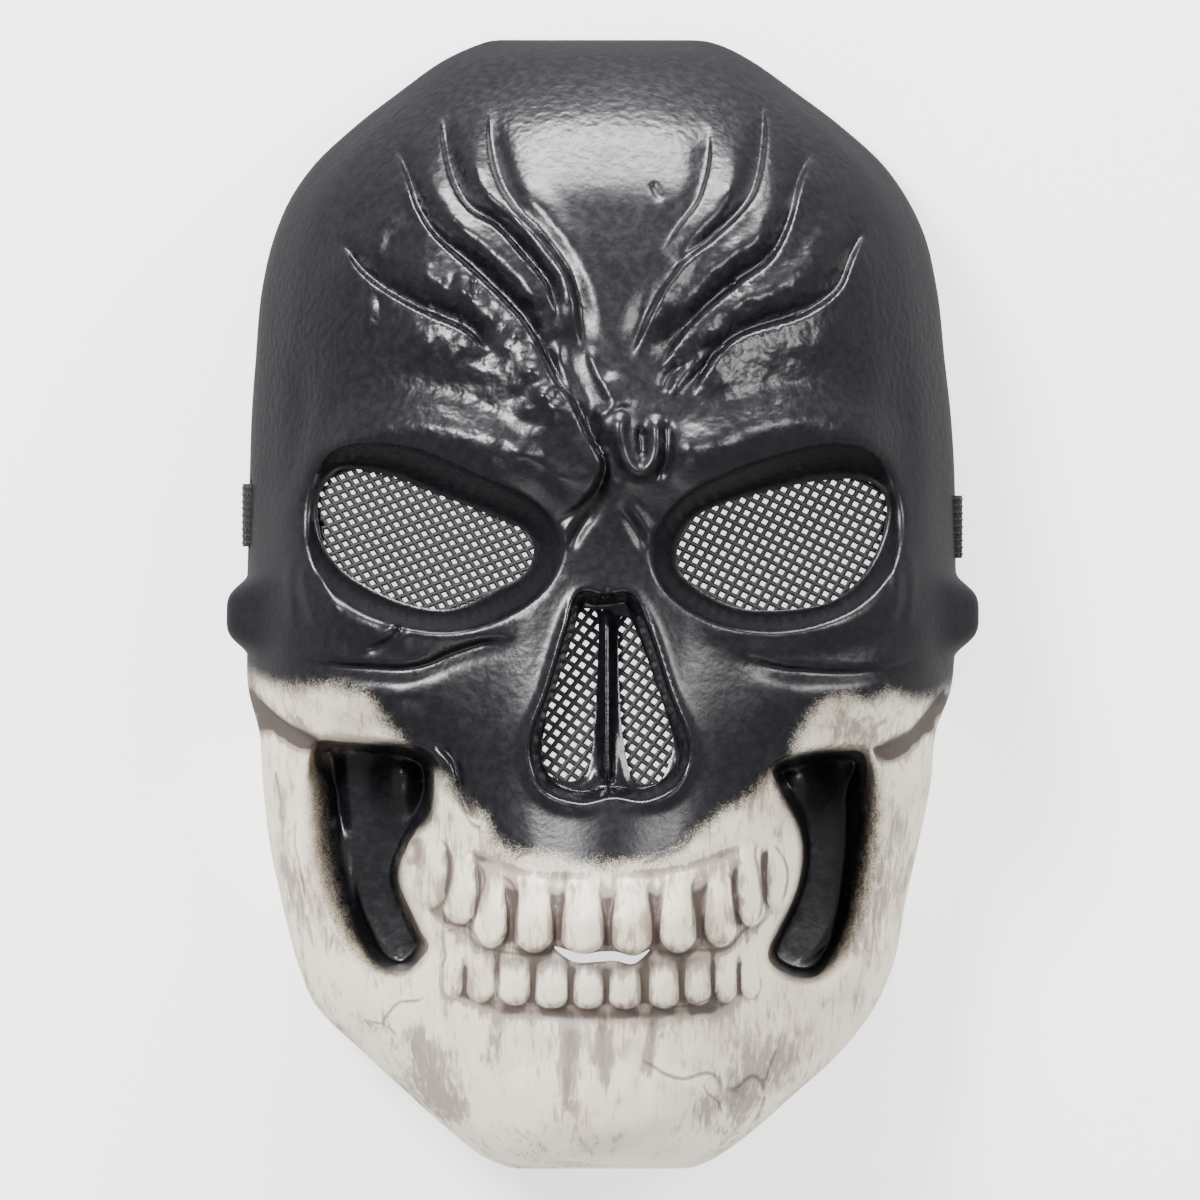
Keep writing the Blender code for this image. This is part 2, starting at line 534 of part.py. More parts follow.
def grid_normals(x, y, z):
    points = np.stack([x, y, z], axis=2)
    across = np.gradient(points, axis=1)
    up = np.gradient(points, axis=0)
    normal = np.cross(across, up)
    return normal / np.maximum(np.linalg.norm(normal, axis=2, keepdims=True), 1e-9)


def eroded(grid, passes):
    """Each value becomes the lowest of its neighbours, again and again."""
    for _ in range(passes):
        lowest = np.minimum.reduce([grid[1:-1, 1:-1], grid[:-2, 1:-1], grid[2:, 1:-1], grid[1:-1, :-2],
                                    grid[1:-1, 2:]])
        grid = grid.copy()
        grid[1:-1, 1:-1] = lowest
    return grid


def skins(rows, columns):
    """Outer and inner skin of the moulding as grids of points."""
    x, y, plain, _, share = base_form(rows, columns)
    to_side = smooth_step((1.0 - np.abs(share)) / 0.06)[None, :]
    to_end = smooth_step(np.minimum(MASK_TOP - y, y - MASK_BOTTOM) / 4.0)
    relief = relief_of(x, y) * to_side * to_end
    z = carve(plain + relief, x, y)
    for ridge in NOSE_RIDGES:
        z = z + ridge_relief(ridge, x, y)
    knobs = cheek_knobs(x, y, z)
    outer = np.stack([x + knobs, y, z], axis=2)

    low = plain + np.minimum(blur(eroded(relief, 2), 4), relief)
    normal = grid_normals(x, y, blur(plain + blur(relief, 12), 6))
    edge = np.zeros(z.shape, dtype=bool)
    edge[0, :] = edge[-1, :] = edge[:, 0] = edge[:, -1] = True
    normal[edge, 2] = 0.0
    normal /= np.maximum(np.linalg.norm(normal, axis=2, keepdims=True), 1e-9)
    inner = np.stack([x, y, low], axis=2) - WALL * normal
    inner[..., 2] = carve(inner[..., 2], inner[..., 0], inner[..., 1], WALL)
    inner[..., 0] += (1.0 - KNOB_SOLID) * knobs
    inner[edge, 2] = z[edge]
    return outer, inner


def shell_mesh(rows, columns):
    """Outer skin, inner skin and the rim between them as one closed mesh."""
    outer, inner = skins(rows, columns)
    index = np.arange(rows * columns).reshape(rows, columns)
    a, b = index[:-1, :-1].ravel(), index[:-1, 1:].ravel()
    c, d = index[1:, 1:].ravel(), index[1:, :-1].ravel()
    count = rows * columns
    faces = [np.stack([a, b, c, d], axis=1), np.stack([a, d, c, b], axis=1) + count]
    loop = np.concatenate([index[0, :-1], index[:-1, -1], index[-1, :0:-1], index[:0:-1, 0]])
    after = np.roll(loop, -1)
    faces.append(np.stack([after, loop, loop + count, after + count], axis=1))
    mesh = bpy.data.meshes.new("mask_shell")
    points = np.vstack([outer.reshape(-1, 3), inner.reshape(-1, 3)]) * MM
    mesh.from_pydata(points.tolist(), [], np.vstack(faces).tolist())
    return mesh


def add_object(name, mesh, material):
    thing = bpy.data.objects.new(name, mesh)
    bpy.context.scene.collection.objects.link(thing)
    mesh.materials.append(material)
    return thing


def prism(name, outline, low, high):
    """A helper solid: a front-view outline between two heights, all in mm."""
    mesh = bpy.data.meshes.new(name)
    count = len(outline)
    bottom = [(px * MM, py * MM, low * MM) for px, py in outline]
    top = [(px * MM, py * MM, high * MM) for px, py in outline]
    faces = [tuple(reversed(range(count))), tuple(range(count, 2 * count))]
    for here in range(count):
        after = (here + 1) % count
        faces.append((here, after, after + count, here + count))
    mesh.from_pydata(bottom + top, [], faces)
    bm = bmesh.new()
    bm.from_mesh(mesh)
    bmesh.ops.recalc_face_normals(bm, faces=bm.faces)
    bm.to_mesh(mesh)
    bm.free()
    cutter = bpy.data.objects.new(name, mesh)
    bpy.context.scene.collection.objects.link(cutter)
    cutter.hide_render = True
    cutter.display_type = "WIRE"
    return cutter


def cut(target, cutter):
    modifier = target.modifiers.new(cutter.name, "BOOLEAN")
    modifier.operation = "DIFFERENCE"
    modifier.object = cutter


def slot_cutter(slot):
    """A lying bar with round ends, through one side wall."""
    half = SLOT_LENGTH / 2 - SLOT_HEIGHT / 2
    outline = []
    for step in range(12):
        angle = math.pi * step / 5 if step < 6 else math.pi * (step - 6) / 5 + math.pi
        end = half if step < 6 else -half
        outline.append((slot.centre_y + end + math.sin(angle) * SLOT_HEIGHT / 2,
                        SLOT_CENTRE_Z + math.cos(angle) * SLOT_HEIGHT / 2))
    cutter = prism("slot_cut_" + slot.name, outline, 80.0, 96.0)
    turn = Matrix(((0, 0, slot.side), (1, 0, 0), (0, 1, 0))).to_4x4()
    cutter.data.transform(turn)
    if slot.side < 0:
        cutter.data.flip_normals()
    return cutter


def build_shell(material):
    shell = add_object("mask_shell", shell_mesh(ROWS, COLUMNS), material)
    thin = shell.modifiers.new("thin_faces", "DECIMATE")
    thin.ratio = SHELL_TRIANGLES / (4.0 * ROWS * COLUMNS)
    for name, outline in (("left_eye_cut", LEFT_EYE), ("right_eye_cut", RIGHT_EYE),
                          ("left_nostril_cut", LEFT_NOSTRIL), ("right_nostril_cut", RIGHT_NOSTRIL),
                          ("mouth_cut", MOUTH_SLIT)):
        steps = 2 if outline is not MOUTH_SLIT else 1
        cut(shell, prism(name, rounded_path(front(outline), closed=True, steps=steps), 30.0, 130.0))
    for slot in SLOTS:
        cut(shell, slot_cutter(slot))
    ground = ((-120.0, -160.0), (120.0, -160.0), (120.0, 160.0), (-120.0, 160.0))
    cut(shell, prism("feet_trim", ground, -10.0, 0.0))
    return shell


def grown(outline, margin):
    """A closed outline moved outwards."""
    before = np.roll(outline, 1, axis=0)
    after = np.roll(outline, -1, axis=0)
    run = after - before
    run /= np.linalg.norm(run, axis=1, keepdims=True)
    area = np.sum(outline[:, 0] * np.roll(outline[:, 1], -1) - np.roll(outline[:, 0], -1) * outline[:, 1])
    out = np.stack([run[:, 1], -run[:, 0]], axis=1) * np.sign(area)
    return outline + out * margin


def lay_on_seat(thing, seat, drop):
    """Shears a flat mesh so that its zero height follows the seat, lowered by drop."""
    for vertex in thing.data.vertices:
        x = vertex.co.x / MM
        y = vertex.co.y / MM
        vertex.co.z += (float(seat_height(seat, np.array(x), np.array(y))) - drop) * MM


def net_gaps(panel, outline):
    """Centres of the diamond gaps that fit inside the opening, in staggered rows."""
    low = outline.min(axis=0)
    high = outline.max(axis=0)
    centre = (low + high) / 2
    rows = int((high[1] - low[1]) / panel.pitch_y) + 2
    columns = int((high[0] - low[0]) / panel.pitch_x) + 2
    places = []
    for row in range(-rows, rows + 1):
        shift = panel.pitch_x / 2 if row % 2 else 0.0
        for column in range(-columns, columns + 1):
            place = (centre[0] + column * panel.pitch_x + shift, centre[1] + row * panel.pitch_y / 2)
            room = inside_outline(outline, np.array([place[0]]), np.array([place[1]]))[0]
            if room > 0.4:
                places.append(place)
    return places


def build_net(panel, material):
    """A thin pierced sheet behind one opening."""
    hole = rounded_path(front(panel.outline), closed=True, steps=2)
    drop = WALL + SEAT_GAP
    sheet = prism(panel.name, grown(hole, panel.margin), -NET_THICKNESS, 0.0)
    sheet.hide_render = False
    sheet.display_type = "TEXTURED"
    sheet.data.materials.append(material)
    holes = bmesh.new()
    for centre_x, centre_y in net_gaps(panel, rounded_path(front(panel.outline), closed=True)):
        corners = ((panel.across / 2, 0), (0, panel.up / 2), (-panel.across / 2, 0), (0, -panel.up / 2))
        rings = []
        for level in (-2.0, 1.5):
            rings.append([holes.verts.new(((centre_x + dx) * MM, (centre_y + dy) * MM, level * MM))
                          for dx, dy in corners])
        holes.faces.new(reversed(rings[0]))
        holes.faces.new(rings[1])
        for here in range(4):
            after = (here + 1) % 4
            holes.faces.new((rings[0][here], rings[0][after], rings[1][after], rings[1][here]))
    mesh = bpy.data.meshes.new(panel.name + "_cut")
    holes.to_mesh(mesh)
    holes.free()
    cutter = bpy.data.objects.new(panel.name + "_cut", mesh)
    bpy.context.scene.collection.objects.link(cutter)
    cutter.hide_render = True
    cutter.display_type = "WIRE"
    lay_on_seat(sheet, panel.seat, drop)
    lay_on_seat(cutter, panel.seat, drop)
    cut(sheet, cutter)
    return sheet


def wall_at(slot, z):
    """Outer face of the side wall at a slot, as a distance from the middle."""
    x, y, height, _, _ = base_form(ROWS, COLUMNS)
    row = int(np.argmin(np.abs(y[:, 0] - slot.centre_y)))
    column = slice(0, COLUMNS // 6) if slot.side < 0 else slice(COLUMNS - 1, COLUMNS - COLUMNS // 6, -1)
    return float(np.interp(z, height[row, column], np.abs(x[row, column])))


def strap_inside(slot):
    """Distance from the middle at which the strap lies flat against the inside of the wall."""
    return wall_at(slot, SLOT_CENTRE_Z) - WALL - STRAP_THICKNESS / 2 - STRAP_GAP - STRAP_PULL


def strap_end(slot):
    """Centre line of one end, from the sewn tail round the rim and through the slot, and inward."""
    half = STRAP_THICKNESS / 2 + STRAP_GAP
    outside = wall_at(slot, STRAP_RIM_Z) + half
    inside = strap_inside(slot)
    under = STRAP_RIM_Z - half
    over = SLOT_CENTRE_Z
    tail = SLOT_CENTRE_Z - STRAP_THICKNESS - STRAP_PLY_GAP
    bend = STRAP_BEND
    corner = STRAP_CORNER
    y = slot.centre_y + STRAP_LIFT_IN_SLOT
    profile = ((inside - STRAP_SEWN, tail), (inside - bend, tail), (inside - corner, tail - corner),
               (inside, tail - bend), (inside, under + bend), (inside + corner, under + corner),
               (inside + bend, under), (outside - bend, under), (outside - corner, under + corner),
               (outside, under + bend), (outside, over - bend), (outside - corner, over - corner),
               (outside - bend, over), (inside, over), (inside - STRAP_SEWN / 2, over),
               (inside - STRAP_SEWN, over))
    return np.array([(slot.side * x, y, z, 0.0, 1.0, 0.0) for x, z in profile])


def strap_turn(slot):
    """A quarter turn from the slot towards the chin, in which the band also rises on edge."""
    start = strap_inside(slot) - STRAP_SEWN - STRAP_TURN_RUN_IN
    y = slot.centre_y + STRAP_LIFT_IN_SLOT
    edge = STRAP_WIDTH / 2 + STRAP_FLOOR_GAP
    rows = []
    for step in range(TURN_STEPS + 1):
        share = step / TURN_STEPS
        swing = share * math.pi / 2
        lean = (1.0 - (1.0 - share) ** 2) * math.pi / 2
        x = start - STRAP_TURN_RADIUS * math.sin(swing)
        z = SLOT_CENTRE_Z + (edge - SLOT_CENTRE_Z) * share * share * (3.0 - 2.0 * share)
        rows.append((slot.side * x, y - STRAP_TURN_RADIUS * (1.0 - math.cos(swing)), z,
                     -slot.side * math.sin(swing) * math.cos(lean), math.cos(swing) * math.cos(lean),
                     math.sin(lean)))
    return np.array(rows)


def strap_line():
    """The whole strap, a row for each station: centre point, then the direction of its width."""
    left = np.vstack([strap_end(SLOTS[0]), strap_turn(SLOTS[0])])
    right = np.vstack([strap_end(SLOTS[1]), strap_turn(SLOTS[1])])[::-1]
    edge = STRAP_WIDTH / 2 + STRAP_FLOOR_GAP
    bow = np.array([(-row.x, row.y, edge, 0.0, 0.0, 1.0) for row in BOW])
    mirrored = bow[:-1][::-1] * np.array([-1, 1, 1, 1, 1, 1])
    lower = (SLOTS[1].centre_y - SLOTS[0].centre_y) * np.linspace(0.0, 1.0, len(mirrored)) ** 3
    mirrored[:, 1] += lower
    keys = np.vstack([left[-2:], bow, mirrored, right[:2]])
    free = rounded_path(keys, steps=BOW_STEPS)[BOW_STEPS:-BOW_STEPS]
    return np.vstack([left[:-1], free, right[1:]])


def build_strap(material):
    """A flat band swept along its centre line."""
    line = strap_line()
    points, across = line[:, :3], line[:, 3:]
    tangent = np.gradient(points, axis=0)
    tangent /= np.linalg.norm(tangent, axis=1, keepdims=True)
    across = across - np.sum(across * tangent, axis=1, keepdims=True) * tangent
    across /= np.linalg.norm(across, axis=1, keepdims=True)
    through = np.cross(tangent, across)
    corners = []
    for side_w, side_t in ((-1, -1), (1, -1), (1, 1), (-1, 1)):
        corners.append(points + across * side_w * STRAP_WIDTH / 2 + through * side_t * STRAP_THICKNESS / 2)
    band = np.stack(corners, axis=1)
    count = len(points)
    faces = [(3, 2, 1, 0), tuple(4 * (count - 1) + k for k in range(4))]
    for base in range(0, 4 * (count - 1), 4):
        faces += [(base, base + 1, base + 5), (base, base + 5, base + 4),
                  (base + 2, base + 3, base + 6), (base + 3, base + 7, base + 6),
                  (base + 1, base + 2, base + 6, base + 5), (base + 3, base, base + 4, base + 7)]
    mesh = bpy.data.meshes.new("head_strap")
    mesh.from_pydata((band.reshape(-1, 3) * MM).tolist(), [], faces)
    return add_object("head_strap", mesh, material)


def main():
    clear_scene()
    plastic = make_material("painted_plastic", (0.02, 0.018, 0.024), 0.38)
    net = make_material("black_net", (0.012, 0.012, 0.013), 0.5)
    elastic = make_material("black_elastic", (0.012, 0.012, 0.012), 0.9)
    build_shell(plastic)
    for panel in NETS:
        build_net(panel, net)
    build_strap(elastic)


main()
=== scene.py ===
"""Skull mask: the finished look of a rigid moulded carnival mask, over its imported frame.

The mask lies face up on its rim. +Z points out of the face, +Y to the forehead and +X to the right of
the front view. Tables are in millimetres or in units of the front view, a quarter millimetre each.
"""
from __future__ import annotations

import logging
import math
from dataclasses import dataclass, field
from enum import Enum
from typing import NamedTuple, Sequence

import bpy
import numpy as np
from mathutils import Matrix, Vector

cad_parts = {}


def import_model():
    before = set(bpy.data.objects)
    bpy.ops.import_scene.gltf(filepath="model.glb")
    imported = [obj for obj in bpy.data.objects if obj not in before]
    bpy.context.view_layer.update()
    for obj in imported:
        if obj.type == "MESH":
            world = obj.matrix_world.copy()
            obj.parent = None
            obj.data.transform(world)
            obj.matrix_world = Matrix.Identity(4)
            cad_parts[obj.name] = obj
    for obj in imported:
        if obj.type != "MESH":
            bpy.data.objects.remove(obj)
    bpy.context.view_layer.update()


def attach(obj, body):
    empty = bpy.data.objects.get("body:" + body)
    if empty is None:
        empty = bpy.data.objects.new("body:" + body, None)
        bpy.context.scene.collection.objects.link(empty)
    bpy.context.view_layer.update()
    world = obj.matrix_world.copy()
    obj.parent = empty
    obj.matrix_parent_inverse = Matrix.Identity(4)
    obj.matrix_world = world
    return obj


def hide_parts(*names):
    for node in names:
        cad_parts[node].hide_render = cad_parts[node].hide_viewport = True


LOG = logging.getLogger("skull_mask")
MM = 0.001
Array = np.ndarray
Points = Sequence[tuple[float, float]]
Place = tuple[float, float, float]


class Side(Enum):
    """The side of the face, with its sign along X."""

    LEFT = -1
    RIGHT = 1


class Surface(Enum):
    """The two skins of the moulding, with their material slots."""

    OUTSIDE = 0
    INSIDE = 1


class Section(NamedTuple):
    """A cross-section: its place, half widths, rim height, and heights at shares of the half width."""

    y: float
    left: float
    right: float
    rim: float
    mid: float
    f20: float
    f40: float
    f60: float
    f75: float
    f88: float
    f96: float


class Fold(NamedTuple):
    """A crease with a raised lip; side +1 has its valley on the left of the path's travel."""

    name: str
    side: int
    depth: float
    valley: float
    lip: float
    roll: float
    fade: float
    path: Points


class Ridge(NamedTuple):
    """A rounded roll along a path, or a furrow where the height is negative."""

    name: str
    height: float
    width: float
    fade: float
    lumpy: float
    path: Points


class Blob(NamedTuple):
    """A rounded swelling."""

    name: str
    at_x: float
    at_y: float
    half_width: float
    half_height: float
    rise: float


class Tooth(NamedTuple):
    """A tooth's box on the front view, its height over the gum, and how far its neck is narrowed."""

    name: str
    left: float
    right: float
    top: float
    bottom: float
    rise: float
    neck: float


class Plane(NamedTuple):
    """A flat seat of a net: the height of the outer skin there, falling away from the middle."""

    z: float
    slope_x: float
    slope_y: float
    from_x: float
    from_y: float


class Crack(NamedTuple):
    """A hairline crack: its half width, how dark it is, and its path."""

    name: str
    width: float
    dark: float
    path: Points


class StainAndShade(NamedTuple):
    """A soft brown stain along a path, also used for painted shade: its half width and strength."""

    name: str
    width: float
    strength: float
    path: Points


class Net(NamedTuple):
    """A net panel: the node it stands for, its opening and seat, and the two steps of its gaps in mm."""

    node: str
    outline: Points
    seat: Plane
    margin: float
    step_a: tuple[float, float]
    step_b: tuple[float, float]
    strand: float


class Slot(NamedTuple):
    """A strap slot in one side wall."""

    side: Side
    centre_y: float


class BowPoint(NamedTuple):
    """A point of the strap's left half, as a distance from the middle and a place along the mask."""

    x: float
    y: float

# Height of the trimmed feet of the rim, where it lies on the surface
FEET = -0.4
MASK_TOP = 141.75
MASK_BOTTOM = -141.75

SECTIONS = (
    Section(141.75, 25.5, 23.5, 8.5, 8.5, 8.5, 8.5, 8.5, 8.5, 8.5, 8.5),
    Section(140.5, 31.0, 30.0, 8.5, 17.0, 16.8, 16.2, 15.2, 13.8, 12.0, 10.2),
    Section(136.0, 40.5, 38.8, 8.6, 31.0, 30.6, 29.2, 26.5, 23.0, 18.0, 13.5),
    Section(129.0, 50.2, 48.6, 8.5, 44.0, 43.4, 41.2, 37.2, 32.0, 24.0, 16.0),
    Section(120.0, 61.8, 60.6, 8.0, 56.0, 55.4, 52.6, 47.0, 40.0, 29.5, 18.0),
    Section(110.0, 72.4, 71.6, 5.4, 65.0, 64.3, 61.1, 54.7, 46.4, 33.2, 18.4),
    Section(102.0, 78.0, 77.4, 1.6, 71.0, 70.3, 67.0, 60.0, 50.8, 35.6, 18.8),
    Section(95.0, 81.2, 81.0, FEET, 74.5, 73.8, 70.4, 63.2, 53.5, 37.0, 19.0),
    Section(78.0, 85.4, 85.2, FEET, 81.0, 80.2, 76.8, 69.4, 59.0, 40.0, 20.0),
    Section(62.0, 86.8, 86.9, FEET, 85.0, 84.2, 80.4, 72.6, 61.5, 41.5, 21.0),
    Section(46.0, 87.9, 88.6, 0.8, 88.5, 87.6, 83.6, 75.0, 63.0, 43.5, 22.5),
    Section(33.0, 88.3, 89.3, 3.5, 89.5, 88.6, 84.6, 76.0, 65.0, 46.0, 24.0),
    Section(20.0, 88.6, 89.5, 3.5, 86.0, 85.4, 82.0, 75.0, 66.0, 48.0, 26.0),
    Section(6.0, 88.9, 89.6, 3.5, 86.0, 84.8, 80.6, 74.5, 67.0, 51.0, 30.0),
    Section(-8.0, 88.9, 89.4, 1.0, 88.0, 86.0, 80.0, 74.5, 68.5, 54.0, 33.0),
    Section(-22.0, 88.6, 88.4, FEET, 90.0, 87.6, 80.4, 73.5, 66.5, 51.0, 31.0),
    Section(-32.0, 86.0, 84.8, FEET, 91.0, 88.6, 80.6, 69.0, 59.5, 45.5, 27.0),
    Section(-45.0, 85.0, 83.4, FEET, 91.5, 88.8, 79.4, 63.0, 51.5, 41.0, 24.0),
    Section(-62.0, 83.0, 80.0, FEET, 94.5, 91.0, 79.6, 60.0, 47.5, 38.5, 22.5),
    Section(-76.0, 80.0, 76.8, 2.5, 97.0, 92.6, 79.6, 58.5, 46.0, 37.0, 23.0),
    Section(-90.0, 76.4, 74.0, 8.5, 96.5, 92.4, 80.0, 60.5, 48.5, 38.5, 26.5),
    Section(-101.0, 71.8, 69.2, 14.5, 94.5, 91.2, 80.6, 64.0, 53.0, 42.0, 31.0),
    Section(-113.0, 59.6, 59.8, 21.5, 93.5, 91.2, 83.0, 69.5, 59.5, 47.5, 36.5),
    Section(-124.0, 47.6, 47.4, 27.5, 92.5, 91.0, 84.6, 73.5, 64.5, 53.0, 42.0),
    Section(-133.0, 37.4, 37.0, 31.5, 89.5, 88.4, 83.6, 75.0, 67.0, 56.0, 45.0),
    Section(-138.8, 29.8, 28.6, 34.0, 78.0, 77.2, 74.0, 67.5, 61.5, 52.5, 44.0),
    Section(-141.0, 24.4, 24.0, 35.0, 55.0, 54.6, 53.0, 50.0, 47.0, 43.0, 39.0),
    Section(-141.75, 21.2, 20.0, 35.5, 35.5, 35.5, 35.5, 35.5, 35.5, 35.5, 35.5),
)
SHARES = (0.0, 0.2, 0.4, 0.6, 0.75, 0.88, 0.96, 1.0)

# Each crease is a crisp lip that drops into a narrow valley on the side of the roll above it
FOLDS = (
    Fold("left_inner", 1, 2.5, 3.4, 2.3, 6.9, 0.22, (
        (490, 96), (489, 140), (496, 178), (512, 208), (540, 238), (560, 265), (572, 292), (578, 330),
        (581, 362))),
    Fold("left_second", 1, 2.6, 3.6, 2.4, 7.5, 0.16, (
        (441, 108), (443, 140), (451, 180), (468, 210), (495, 228), (518, 253), (545, 287), (556, 324))),
    Fold("left_third", 1, 3.2, 4.1, 2.6, 7.5, 0.12, (
        (392, 140), (408, 180), (418, 210), (437, 240), (475, 275), (515, 315), (534, 342), (556, 385),
        (572, 405), (584, 434), (600, 462), (594, 486), (574, 508), (550, 521))),
    Fold("left_outer", 1, 3.0, 4.3, 2.4, 7.5, 0.16, (
        (340, 240), (358, 268), (378, 287), (400, 301), (430, 317), (460, 330), (480, 346), (494, 360))),
    Fold("right_inner", -1, 1.2, 3.1, 1.2, 6.3, 0.30, (
        (712, 118), (711, 160), (700, 200), (680, 228), (657, 262))),
    Fold("right_second", -1, 2.4, 3.4, 2.2, 6.3, 0.16, (
        (768, 92), (768, 135), (760, 182), (745, 210), (712, 242), (684, 264), (660, 296), (640, 337),
        (628, 364))),
    Fold("right_third", -1, 2.5, 3.8, 2.2, 6.9, 0.16, (
        (822, 146), (803, 180), (790, 225), (770, 262), (738, 286), (700, 318), (678, 341), (658, 374))),
    Fold("right_outer", -1, 2.5, 4.1, 2.2, 6.9, 0.16, (
        (872, 222), (854, 258), (838, 292), (800, 318), (740, 338), (706, 370), (690, 402))),
    Fold("left_cheek", -1, 2.0, 2.6, 1.0, 4.0, 0.18, (
        (303, 648), (318, 658), (345, 662), (400, 665), (425, 661), (450, 650), (482, 640), (520, 636))),
    Fold("right_cheek", 1, 1.4, 2.6, 0.8, 4.0, 0.22, (
        (926, 648), (900, 662), (850, 668), (790, 666), (755, 658), (735, 648))),
    Fold("left_zygoma_edge", -1, 6.0, 7.0, 1.6, 3.4, 0.10, (
        (240, 654), (246, 672), (258, 692), (275, 710), (295, 725), (318, 736), (345, 741))),
    Fold("right_zygoma_edge", 1, 5.8, 7.0, 1.6, 3.4, 0.10, (
        (956, 680), (944, 692), (928, 712), (912, 731), (892, 742), (868, 747))),
    Fold("left_maxilla_edge", 1, 1.6, 2.4, 0.7, 2.2, 0.2, (
        (430, 742), (448, 758), (455, 775), (457, 792), (465, 812), (480, 826))),
)

